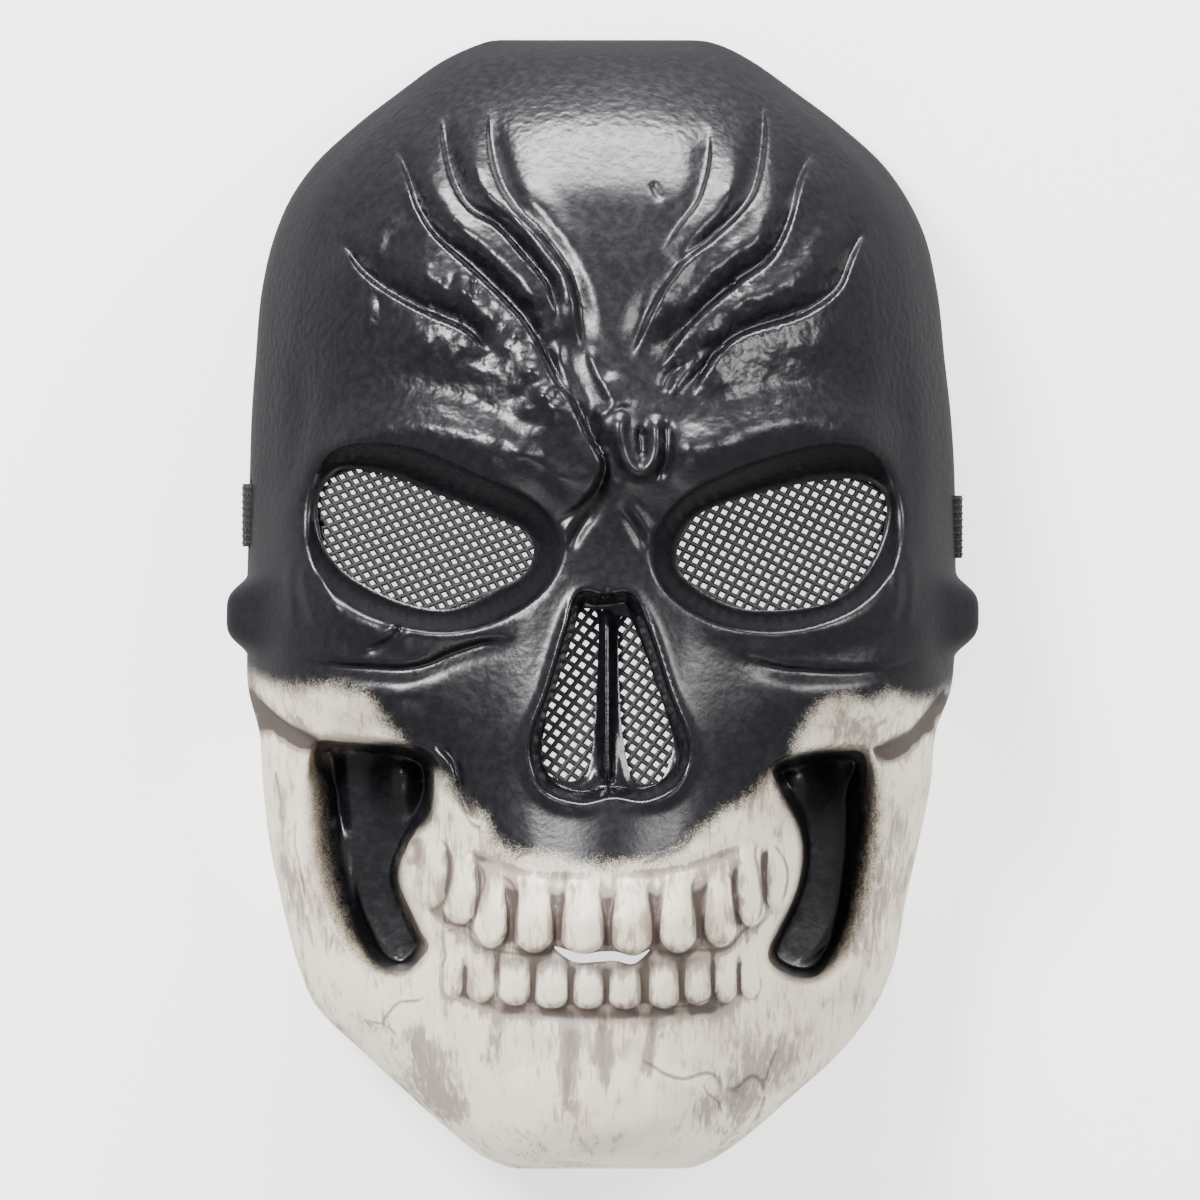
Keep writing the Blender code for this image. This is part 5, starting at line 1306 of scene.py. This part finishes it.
@dataclass
class MaskShell:
    """The moulding: two skins joined at the rim, with the openings and the strap slots cut through."""

    form: FaceForm
    triangles: int = 190000
    slot_length: float = 21.0
    slot_height: float = 2.5
    slot_z: float = 10.1

    def skin_mesh(self) -> bpy.types.Mesh:
        """Outer skin, inner skin and rim as one closed mesh; the inner skin has its own slot, the rim shares
        the outer one's.
        """
        outer, inner = self.form.skins()
        rows, columns = self.form.rows, self.form.columns
        index = np.arange(rows * columns).reshape(rows, columns)
        a, b = index[:-1, :-1].ravel(), index[:-1, 1:].ravel()
        c, d = index[1:, 1:].ravel(), index[1:, :-1].ravel()
        count = rows * columns
        loop = np.concatenate([index[0, :-1], index[:-1, -1], index[-1, :0:-1], index[:0:-1, 0]])
        after = np.roll(loop, -1)
        quads = np.vstack([np.stack([a, b, c, d], axis=1), np.stack([a, d, c, b], axis=1) + count,
                           np.stack([after, loop, loop + count, after + count], axis=1)])
        mesh = bpy.data.meshes.new("mask_shell_skins")
        points = np.vstack([outer.reshape(-1, 3), inner.reshape(-1, 3)]) * MM
        mesh.vertices.add(len(points))
        mesh.vertices.foreach_set("co", points.ravel())
        mesh.loops.add(quads.size)
        mesh.loops.foreach_set("vertex_index", quads.ravel())
        mesh.polygons.add(len(quads))
        mesh.polygons.foreach_set("loop_start", np.arange(0, quads.size, 4))
        slots = np.concatenate([np.full(len(a), Surface.OUTSIDE.value),
                                np.full(len(a), Surface.INSIDE.value),
                                np.full(len(loop), Surface.OUTSIDE.value)])
        mesh.polygons.foreach_set("material_index", slots.astype(np.int32))
        mesh.update(calc_edges=True)
        return mesh

    def slot_outline(self, slot: Slot) -> list[tuple[float, float]]:
        """A lying bar with round ends, in the plane of the side wall."""
        half = (self.slot_length - self.slot_height) / 2
        outline = []
        for step in range(16):
            angle = math.pi * (step if step < 8 else step - 8) / 7 + (0.0 if step < 8 else math.pi)
            end = half if step < 8 else -half
            outline.append((slot.centre_y + end + math.sin(angle) * self.slot_height / 2,
                            self.slot_z + math.cos(angle) * self.slot_height / 2))
        return outline

    def cutter(self, finish: bpy.types.Material) -> bpy.types.Object:
        """All the openings as one object of closed prisms."""
        points: list[tuple[float, float, float]] = []
        faces: list[tuple[int, ...]] = []

        def prism(outline: Array, low: float, high: float, side: int = 0) -> None:
            """Adds a closed prism over an outline, along Z or out through one side wall."""
            ring = np.asarray(outline)
            area = np.sum(ring[:, 0] * np.roll(ring[:, 1], -1) - np.roll(ring[:, 0], -1) * ring[:, 1])
            ring = ring if area * (side or 1) > 0 else ring[::-1]
            first, count = len(points), len(ring)
            for level in (low, high):
                for u, v in ring:
                    points.append((u, v, level) if side == 0 else (side * level, u, v))
            faces.append(tuple(first + k for k in reversed(range(count))))
            faces.append(tuple(first + count + k for k in range(count)))
            for k in range(count):
                after = (k + 1) % count
                faces.append((first + k, first + after, first + count + after, first + count + k))

        for outline in (LEFT_EYE, RIGHT_EYE, LEFT_NOSTRIL, RIGHT_NOSTRIL, MOUTH_SLIT):
            prism(VIEW.curve(outline, True, 5), *FACE_CUT)
        for slot in SLOTS:
            prism(self.slot_outline(slot), *SIDE_CUT, slot.side.value)
        wide, long = FOOT_CUT_HALF
        prism(np.array(((-wide, -long), (wide, -long), (wide, long), (-wide, long))), -FOOT_CUT_DEPTH, 0.0)
        mesh = bpy.data.meshes.new("openings")
        mesh.from_pydata([tuple(MM * part for part in point) for point in points], [], faces)
        mesh.materials.append(finish)
        return new_object("openings", mesh)

    def build(self) -> bpy.types.Object:
        """The finished moulding."""
        mesh = self.skin_mesh()
        mesh.materials.append(PaintedPlastic().material())
        inside = PlainPlastic("painted_plastic_inside", (0.012, 0.0115, 0.013, 1.0), 0.55).material()
        mesh.materials.append(inside)
        edge = PlainPlastic("painted_plastic_cut_edge", (0.010, 0.0095, 0.012, 1.0), 0.42).material()
        raw = new_object("mask_shell_raw", mesh)
        thin = raw.modifiers.new("thin_faces", "DECIMATE")
        thin.ratio = self.triangles / (4.0 * self.form.rows * self.form.columns)
        cutter = self.cutter(edge)
        cut = raw.modifiers.new("openings", "BOOLEAN")
        cut.operation = "DIFFERENCE"
        cut.object = cutter
        cut.material_mode = "TRANSFER"
        piece = baked(raw, "mask_shell_painted")
        bpy.data.objects.remove(cutter)
        self.sharpen(piece.data)
        PaintPlan(self.form).dress(piece.data)
        return piece

    @staticmethod
    def sharpen(mesh: bpy.types.Mesh) -> None:
        """Smooth shading, with a sharp edge where two surfaces meet."""
        mesh.shade_smooth()
        slots = np.empty(len(mesh.polygons), dtype=np.int32)
        mesh.polygons.foreach_get("material_index", slots)
        totals = np.empty(len(mesh.polygons), dtype=np.int32)
        mesh.polygons.foreach_get("loop_total", totals)
        edges = np.empty(len(mesh.loops), dtype=np.int32)
        mesh.loops.foreach_get("edge_index", edges)
        loop_slots = np.repeat(slots, totals)
        low = np.full(len(mesh.edges), 99)
        high = np.full(len(mesh.edges), -1)
        np.minimum.at(low, edges, loop_slots)
        np.maximum.at(high, edges, loop_slots)
        layer = mesh.attributes.new("sharp_edge", "BOOLEAN", "EDGE")
        layer.data.foreach_set("value", low != high)


@dataclass
class NetPanel:
    """A net behind one opening: strands laid from point to point of a slanted lattice."""

    net: Net
    wall: float = 2.0
    gap: float = 0.3
    thickness: float = 0.62

    def lattice(self) -> Array:
        """Points of the lattice inside the opening and a little past it."""
        outline = VIEW.curve(self.net.outline, True)
        a, b = np.array(self.net.step_a), np.array(self.net.step_b)
        u, v = np.meshgrid(np.arange(-60, 61), np.arange(-60, 61))
        places = outline.mean(axis=0) + u.reshape(-1, 1) * a + v.reshape(-1, 1) * b
        near = window(outline, self.net.margin, places[:, 0], places[:, 1])
        places = places[near]
        room = inside_outline(outline, places[:, 0], places[:, 1])
        return places[room > -self.net.margin + 0.4]

    def tree(self) -> bpy.types.NodeTree:
        """Geometry Nodes: two straight strands crossing at each point, swept round and flattened, then
        sheared onto the seat.
        """
        tree = bpy.data.node_groups.new(self.net.node + "_strands", "GeometryNodeTree")
        face = tree.interface
        face.new_socket("Geometry", in_out="INPUT", socket_type="NodeSocketGeometry")
        for name, kind in (("Step A", "NodeSocketVector"), ("Step B", "NodeSocketVector"),
                           ("Strand width", "NodeSocketFloat"), ("Strand flatness", "NodeSocketFloat"),
                           ("Seat height", "NodeSocketFloat"), ("Seat slope x", "NodeSocketFloat"),
                           ("Seat slope y", "NodeSocketFloat"), ("Coat", "NodeSocketMaterial")):
            face.new_socket(name, in_out="INPUT", socket_type=kind)
        face.new_socket("Geometry", in_out="OUTPUT", socket_type="NodeSocketGeometry")
        bench = NodeBench(tree)
        given = bench.add("NodeGroupInput").outputs
        links = tree.links

        def strand(step: str) -> bpy.types.NodeSocket:
            """One strand of the lattice: a ring swept along a step."""
            half = bench.add("ShaderNodeVectorMath", operation="SCALE")
            links.new(given[step], half.inputs[0])
            half.inputs["Scale"].default_value = 0.5
            back = bench.add("ShaderNodeVectorMath", operation="SCALE")
            links.new(half.outputs[0], back.inputs[0])
            back.inputs["Scale"].default_value = -1.0
            line = bench.add("GeometryNodeCurvePrimitiveLine", mode="POINTS")
            links.new(back.outputs[0], line.inputs["Start"])
            links.new(half.outputs[0], line.inputs["End"])
            ring = bench.add("GeometryNodeCurvePrimitiveCircle", mode="RADIUS")
            ring.inputs["Resolution"].default_value = 8
            radius = bench.maths("MULTIPLY", given["Strand width"], 0.5)
            links.new(radius, ring.inputs["Radius"])
            sweep = bench.add("GeometryNodeCurveToMesh")
            links.new(line.outputs[0], sweep.inputs["Curve"])
            links.new(ring.outputs[0], sweep.inputs["Profile Curve"])
            return sweep.outputs[0]

        join = bench.add("GeometryNodeJoinGeometry")
        links.new(strand("Step A"), join.inputs[0])
        links.new(strand("Step B"), join.inputs[0])
        flat = bench.add("GeometryNodeTransform")
        scale = bench.add("ShaderNodeCombineXYZ")
        scale.inputs["X"].default_value = 1.0
        scale.inputs["Y"].default_value = 1.0
        links.new(given["Strand flatness"], scale.inputs["Z"])
        links.new(join.outputs[0], flat.inputs["Geometry"])
        links.new(scale.outputs[0], flat.inputs["Scale"])
        lay = bench.add("GeometryNodeInstanceOnPoints")
        links.new(given["Geometry"], lay.inputs["Points"])
        links.new(flat.outputs[0], lay.inputs["Instance"])
        real = bench.add("GeometryNodeRealizeInstances")
        links.new(lay.outputs[0], real.inputs[0])

        split = bench.add("ShaderNodeSeparateXYZ")
        links.new(bench.add("GeometryNodeInputPosition").outputs[0], split.inputs[0])
        rise = bench.maths("MULTIPLY", bench.maths("ABSOLUTE", split.outputs["X"]), given["Seat slope x"])
        rise = bench.maths("ADD", rise, bench.maths("MULTIPLY", split.outputs["Y"], given["Seat slope y"]))
        rise = bench.maths("ADD", rise, given["Seat height"])
        lift = bench.add("ShaderNodeCombineXYZ")
        links.new(rise, lift.inputs["Z"])
        place = bench.add("GeometryNodeSetPosition")
        links.new(real.outputs[0], place.inputs["Geometry"])
        links.new(lift.outputs[0], place.inputs["Offset"])
        coat = bench.add("GeometryNodeSetMaterial")
        links.new(place.outputs[0], coat.inputs["Geometry"])
        links.new(given["Coat"], coat.inputs["Material"])
        links.new(coat.outputs[0], bench.add("NodeGroupOutput").inputs[0])
        return tree

    def frame_mesh(self, centre_drop: float) -> tuple[list[Place], list[tuple[int, ...]]]:
        """The net's plain border, which is held between the wall and its flange."""
        hole = VIEW.curve(self.net.outline, True, 3)
        run = np.roll(hole, -1, axis=0) - np.roll(hole, 1, axis=0)
        run /= np.linalg.norm(run, axis=1, keepdims=True)
        area = np.sum(hole[:, 0] * np.roll(hole[:, 1], -1) - np.roll(hole[:, 0], -1) * hole[:, 1])
        out = np.stack([run[:, 1], -run[:, 0]], axis=1) * np.sign(area)
        points: list[tuple[float, float, float]] = []
        rings = ((0.7, 0.5), (self.net.margin, 0.5), (self.net.margin, -0.5), (0.7, -0.5))
        for grow, level in rings:
            ring = hole + out * grow
            z = seat_height(self.net.seat, ring[:, 0], ring[:, 1]) - centre_drop + level * self.thickness
            points += [(MM * px, MM * py, MM * pz) for px, py, pz in zip(ring[:, 0], ring[:, 1], z)]
        count = len(hole)
        faces = []
        for ring_index in range(4):
            first, second = count * ring_index, count * ((ring_index + 1) % 4)
            for k in range(count):
                after = (k + 1) % count
                quad = (first + k, second + k, second + after, first + after)
                faces.append(quad if area > 0 else quad[::-1])
        return points, faces

    def build(self, coat: bpy.types.Material) -> bpy.types.Object:
        """The finished panel."""
        seat = self.net.seat
        drop = self.wall + self.gap + self.thickness / 2 + 0.05
        mesh = bpy.data.meshes.new(self.net.node + "_points")
        mesh.from_pydata([(MM * px, MM * py, 0.0) for px, py in self.lattice()], [], [])
        raw = new_object(self.net.node + "_raw", mesh)
        tree = self.tree()
        nodes = raw.modifiers.new("strands", "NODES")
        nodes.node_group = tree
        level = seat.z - seat.slope_x * seat.from_x - seat.slope_y * seat.from_y - drop
        sizes = {
            "Step A": tuple(MM * part for part in self.net.step_a) + (0.0,),
            "Step B": tuple(MM * part for part in self.net.step_b) + (0.0,),
            "Strand width": self.net.strand * MM, "Strand flatness": self.thickness / self.net.strand,
            "Seat height": level * MM, "Seat slope x": seat.slope_x, "Seat slope y": seat.slope_y,
            "Coat": coat,
        }
        for item in tree.interface.items_tree:
            if item.in_out == "INPUT" and item.name in sizes:
                nodes[item.identifier] = sizes[item.name]
        piece = baked(raw, self.net.node + "_woven")
        points, faces = self.frame_mesh(drop)
        border = bpy.data.meshes.new(self.net.node + "_border")
        border.from_pydata(points, [], faces)
        border.materials.append(coat)
        return joined(piece, new_object(self.net.node + "_border", border))


def joined(piece: bpy.types.Object, other: bpy.types.Object) -> bpy.types.Object:
    """Joins another object into a piece."""
    with bpy.context.temp_override(active_object=piece, selected_editable_objects=[piece, other]):
        bpy.ops.object.join()
    return piece


@dataclass
class HeadStrap:
    """The elastic band: sewn round the rim at each slot, with its free stretch standing in a bow."""

    form: FaceForm
    width: float = 15.8
    thickness: float = 1.3
    wall: float = 2.0
    slot_z: float = 10.1
    rim_z: float = 3.5
    gap: float = 0.5
    sewn: float = 3.0
    ply_gap: float = 0.25
    bend: float = 1.2
    corner: float = 0.3
    pull: float = 0.9
    turn_radius: float = 8.9
    turn_run_in: float = 1.8
    floor_gap: float = 0.4
    lift: float = 1.4
    rib_pitch: float = 1.72
    rib_radius: float = 0.42

    def wall_at(self, slot: Slot, z: float) -> float:
        """Outer face of the side wall at a slot, as a distance from the middle."""
        x, y, height, _ = self.form.base()
        row = int(np.argmin(np.abs(y[:, 0] - slot.centre_y)))
        sixth = self.form.columns // 6
        column = slice(0, sixth) if slot.side is Side.LEFT else slice(self.form.columns - 1, -sixth, -1)
        return float(np.interp(z, height[row, column], np.abs(x[row, column])))

    def end(self, slot: Slot) -> Array:
        """Centre line of one end: from the sewn tail round the rim, through the slot and inward."""
        half = self.thickness / 2 + self.gap
        outside = self.wall_at(slot, self.rim_z) + half
        inside = self.wall_at(slot, self.slot_z) - self.wall - half - self.pull
        under, over = self.rim_z - half, self.slot_z
        tail = self.slot_z - self.thickness - self.ply_gap
        bend, corner = self.bend, self.corner
        y = slot.centre_y + self.lift
        profile = ((inside - self.sewn, tail), (inside - bend, tail), (inside - corner, tail - corner),
                   (inside, tail - bend), (inside, under + bend), (inside + corner, under + corner),
                   (inside + bend, under), (outside - bend, under), (outside - corner, under + corner),
                   (outside, under + bend), (outside, over - bend), (outside - corner, over - corner),
                   (outside - bend, over), (inside, over), (inside - self.sewn / 2, over),
                   (inside - self.sewn, over))
        return np.array([(slot.side.value * x, y, z, 0.0, 1.0, 0.0) for x, z in profile])

    def turn(self, slot: Slot, steps: int = 12) -> Array:
        """A quarter turn from the slot towards the chin, in which the band also rises on edge."""
        start = abs(self.end(slot)[-1, 0]) - self.turn_run_in
        y = slot.centre_y + self.lift
        edge = self.width / 2 + self.floor_gap
        side = slot.side.value
        share = np.linspace(0.0, 1.0, steps + 1)
        swing = share * math.pi / 2
        lean = (1.0 - (1.0 - share) ** 2) * math.pi / 2
        x = start - self.turn_radius * np.sin(swing)
        z = self.slot_z + (edge - self.slot_z) * smooth_step(share)
        return np.stack([side * x, y - self.turn_radius * (1.0 - np.cos(swing)), z,
                         -side * np.sin(swing) * np.cos(lean), np.cos(swing) * np.cos(lean), np.sin(lean)],
                        axis=1)

    def line(self) -> Array:
        """The whole band, a row for each station: its centre, then the direction of its width."""
        left = np.vstack([self.end(SLOTS[0]), self.turn(SLOTS[0])])
        right = np.vstack([self.end(SLOTS[1]), self.turn(SLOTS[1])])[::-1]
        edge = self.width / 2 + self.floor_gap
        bow = np.array([(-row.x, row.y, edge, 0.0, 0.0, 1.0) for row in BOW])
        mirrored = bow[:-1][::-1] * np.array([-1, 1, 1, 1, 1, 1])
        lower = (SLOTS[1].centre_y - SLOTS[0].centre_y) * np.linspace(0.0, 1.0, len(mirrored)) ** 3
        mirrored[:, 1] += lower
        keys = np.vstack([left[-2:], bow, mirrored, right[:2]])
        free = rounded_path(keys, steps=7)[7:-7]
        return np.vstack([left[:-1], free, right[1:]])

    def directions(self) -> tuple[Array, Array, Array, Array]:
        """Stations in mm: centres, directions across and through the band, and the length passed."""
        line = self.line()
        points, across = line[:, :3], line[:, 3:]
        tangent = np.gradient(points, axis=0)
        tangent /= np.linalg.norm(tangent, axis=1, keepdims=True)
        across = across - np.sum(across * tangent, axis=1, keepdims=True) * tangent
        across /= np.linalg.norm(across, axis=1, keepdims=True)
        passed = np.concatenate([[0.0], np.cumsum(np.linalg.norm(np.diff(points, axis=0), axis=1))])
        return points, across, np.cross(tangent, across), passed

    def band(self) -> bpy.types.Mesh:
        """The body of the band, a little thinner than its ribs."""
        points, across, through, passed = self.directions()
        half = self.thickness / 2 - 0.55 * self.rib_radius
        shape = ((-1, -0.6), (-0.97, -1), (0.97, -1), (1, -0.6), (1, 0.6), (0.97, 1), (-0.97, 1), (-1, 0.6))
        ring = [points + across * (u * self.width / 2) + through * (v * half) for u, v in shape]
        body = np.stack(ring, axis=1)
        count, sides = len(points), len(shape)
        faces = [tuple(reversed(range(sides))), tuple(sides * (count - 1) + k for k in range(sides))]
        for base in range(0, sides * (count - 1), sides):
            for k in range(sides):
                after = (k + 1) % sides
                faces.append((base + k, base + after, base + sides + after, base + sides + k))
        mesh = bpy.data.meshes.new("head_strap_band")
        mesh.from_pydata((body.reshape(-1, 3) * MM).tolist(), [], faces)
        uv = mesh.uv_layers.new(name="along")
        index = np.empty(len(mesh.loops), dtype=np.int32)
        mesh.loops.foreach_get("vertex_index", index)
        places = np.stack([np.repeat(passed, sides), np.tile([u * self.width / 2 for u, _ in shape], count)],
                          axis=1) * MM
        uv.uv.foreach_set("vector", places[index].ravel().astype(np.float32))
        return mesh

    def rib_lines(self) -> bpy.types.Mesh:
        """Lines of the ribs on both faces, with the place of each point along and across the band."""
        points, across, through, passed = self.directions()
        count = int(self.width / self.rib_pitch)
        offsets = (np.arange(count) - (count - 1) / 2) * self.rib_pitch
        level = self.thickness / 2 - self.rib_radius
        places, edges, uv = [], [], []
        for face in (-1, 1):
            for offset in offsets:
                first = len(places)
                rows = points + across * offset + through * (face * level)
                places += (rows * MM).tolist()
                edges += [(first + k, first + k + 1) for k in range(len(rows) - 1)]
                uv += [(MM * run, MM * offset, 0.0) for run in passed]
        mesh = bpy.data.meshes.new("head_strap_lines")
        mesh.from_pydata(places, edges, [])
        layer = mesh.attributes.new("place", "FLOAT_VECTOR", "POINT")
        layer.data.foreach_set("vector", np.array(uv).ravel().astype(np.float32))
        return mesh

    def rib_tree(self) -> bpy.types.NodeTree:
        """Geometry Nodes: a round rib swept along each line, with the band's own map kept."""
        tree = bpy.data.node_groups.new("head_strap_ribs", "GeometryNodeTree")
        face = tree.interface
        face.new_socket("Geometry", in_out="INPUT", socket_type="NodeSocketGeometry")
        face.new_socket("Rib radius", in_out="INPUT", socket_type="NodeSocketFloat")
        face.new_socket("Rib sides", in_out="INPUT", socket_type="NodeSocketInt")
        face.new_socket("Cloth", in_out="INPUT", socket_type="NodeSocketMaterial")
        face.new_socket("Geometry", in_out="OUTPUT", socket_type="NodeSocketGeometry")
        bench = NodeBench(tree)
        links = tree.links
        given = bench.add("NodeGroupInput").outputs
        curve = bench.add("GeometryNodeMeshToCurve")
        links.new(given["Geometry"], curve.inputs[0])
        ring = bench.add("GeometryNodeCurvePrimitiveCircle", mode="RADIUS")
        links.new(given["Rib sides"], ring.inputs["Resolution"])
        links.new(given["Rib radius"], ring.inputs["Radius"])
        sweep = bench.add("GeometryNodeCurveToMesh")
        sweep.inputs["Fill Caps"].default_value = True
        links.new(curve.outputs[0], sweep.inputs["Curve"])
        links.new(ring.outputs[0], sweep.inputs["Profile Curve"])
        place = bench.add("GeometryNodeInputNamedAttribute", data_type="FLOAT_VECTOR")
        place.inputs["Name"].default_value = "place"
        keep = bench.add("GeometryNodeStoreNamedAttribute", data_type="FLOAT2", domain="CORNER")
        keep.inputs["Name"].default_value = "along"
        links.new(sweep.outputs[0], keep.inputs["Geometry"])
        links.new(place.outputs[0], keep.inputs["Value"])
        real = bench.add("GeometryNodeRealizeInstances")
        links.new(keep.outputs[0], real.inputs[0])
        cloth = bench.add("GeometryNodeSetMaterial")
        links.new(real.outputs[0], cloth.inputs["Geometry"])
        links.new(given["Cloth"], cloth.inputs["Material"])
        links.new(cloth.outputs[0], bench.add("NodeGroupOutput").inputs[0])
        return tree

    def build(self) -> bpy.types.Object:
        """The finished strap."""
        cloth = Elastic().material()
        raw = new_object("head_strap_raw", self.rib_lines())
        nodes = raw.modifiers.new("ribs", "NODES")
        nodes.node_group = self.rib_tree()
        sizes = {"Rib radius": self.rib_radius * MM, "Rib sides": 6, "Cloth": cloth}
        for item in nodes.node_group.interface.items_tree:
            if item.in_out == "INPUT" and item.name in sizes:
                nodes[item.identifier] = sizes[item.name]
        piece = baked(raw, "head_strap_woven")
        band = self.band()
        band.materials.append(cloth)
        piece = joined(piece, new_object("head_strap_band", band))
        piece.data.shade_smooth()
        return piece


class SoftBox(NamedTuple):
    """A light of the studio: its place and size in metres, and its power in watts."""

    name: str
    place: Place
    size: tuple[float, float]
    power: float


SOFT_BOXES = (
    SoftBox("key_left", (-0.75, 0.65, 1.15), (0.40, 0.40), 40.0),
    SoftBox("fill_right", (0.95, 0.45, 1.05), (0.35, 0.60), 15.0),
    SoftBox("top_strip", (0.0, 1.5, 0.2), (1.1, 0.3), 60.0),
    SoftBox("low_fill", (-0.1, -1.2, 1.0), (1.0, 0.5), 4.0),
)


@dataclass(frozen=True)
class Studio:
    """A pale floor, soft lights and the camera above it."""

    distance: float = 6.0
    frame_width: float = 0.300
    turned: float = 1.0
    floor_glow: float = 1.7
    air: float = 0.42
    floor_half: float = 4.0
    floor_drop: float = 0.0002
    sensor: float = 36.0
    lit_height: float = 0.05
    aim_rise: float = 0.00075
    far: float = 30.0

    def floor(self) -> None:
        """The plain surface that the mask lies on: pale, evenly self-lit, and not seen in reflections."""
        mesh = bpy.data.meshes.new("studio_floor")
        half = self.floor_half
        corners = [(-half, -half, 0.0), (half, -half, 0.0), (half, half, 0.0), (-half, half, 0.0)]
        mesh.from_pydata(corners, [], [(0, 1, 2, 3)])
        thing = new_object("studio_floor", mesh)
        thing.location.z = -self.floor_drop
        thing.visible_glossy = False
        material, _, shader = new_finish("studio_floor_paper")
        shader.inputs["Base Color"].default_value = (0.93, 0.93, 0.93, 1.0)
        shader.inputs["Roughness"].default_value = 0.9
        shader.inputs["Emission Color"].default_value = (1.0, 1.0, 1.0, 1.0)
        shader.inputs["Emission Strength"].default_value = self.floor_glow
        mesh.materials.append(material)

    def light(self, box: SoftBox) -> None:
        """A soft box that looks at the mask."""
        data = bpy.data.lights.new(box.name, "AREA")
        data.shape = "RECTANGLE"
        data.size, data.size_y = box.size
        data.energy = box.power
        lamp = bpy.data.objects.new(box.name, data)
        lamp.location = box.place
        aim = Vector((0.0, 0.0, self.lit_height)) - Vector(box.place)
        lamp.rotation_euler = aim.to_track_quat("-Z", "Y").to_euler()
        lamp.visible_camera = False
        bpy.context.scene.collection.objects.link(lamp)

    def camera(self) -> None:
        """A long lens straight above, turned a little to the left."""
        data = bpy.data.cameras.new("front_view")
        data.sensor_width = self.sensor
        data.lens = self.sensor * (self.distance - self.lit_height) / self.frame_width
        data.clip_end = self.far
        camera = bpy.data.objects.new("front_view", data)
        angle = math.radians(self.turned)
        aim = Vector((0.0, self.aim_rise, 0.0))
        camera.location = aim + Vector((-math.sin(angle), 0.0, math.cos(angle))) * self.distance
        camera.rotation_euler = (0.0, -angle, 0.0)
        bpy.context.scene.collection.objects.link(camera)
        bpy.context.scene.camera = camera

    def build(self) -> None:
        """Everything round the mask."""
        self.floor()
        self.camera()
        world = bpy.data.worlds.new("studio_air")
        world.use_nodes = True
        world.node_tree.nodes["Background"].inputs["Color"].default_value = (1.0, 1.0, 1.0, 1.0)
        world.node_tree.nodes["Background"].inputs["Strength"].default_value = self.air
        bpy.context.scene.world = world
        for box in SOFT_BOXES:
            self.light(box)


def hand_over(piece: bpy.types.Object, node: str) -> None:
    """Puts a finished piece in the place of a node.

    Args:
        piece: the piece.
        node: the node that it stands for.
    """
    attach(piece, "root")
    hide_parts(node)
    triangles = sum(len(face.vertices) - 2 for face in piece.data.polygons)
    LOG.info("%s stands for %s: %d triangles", piece.name, node, triangles)


def main() -> None:
    """Dresses the mask: studio, moulding, nets and strap."""
    logging.basicConfig(level=logging.INFO, format="%(name)s: %(message)s")
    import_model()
    Studio().build()
    form = FaceForm()
    hand_over(MaskShell(form).build(), "mask_shell")
    coat = NetCoat().material()
    for net in NETS:
        hand_over(NetPanel(net).build(coat), net.node)
    hand_over(HeadStrap(form).build(), "head_strap")


if __name__ == "__main__":
    main()
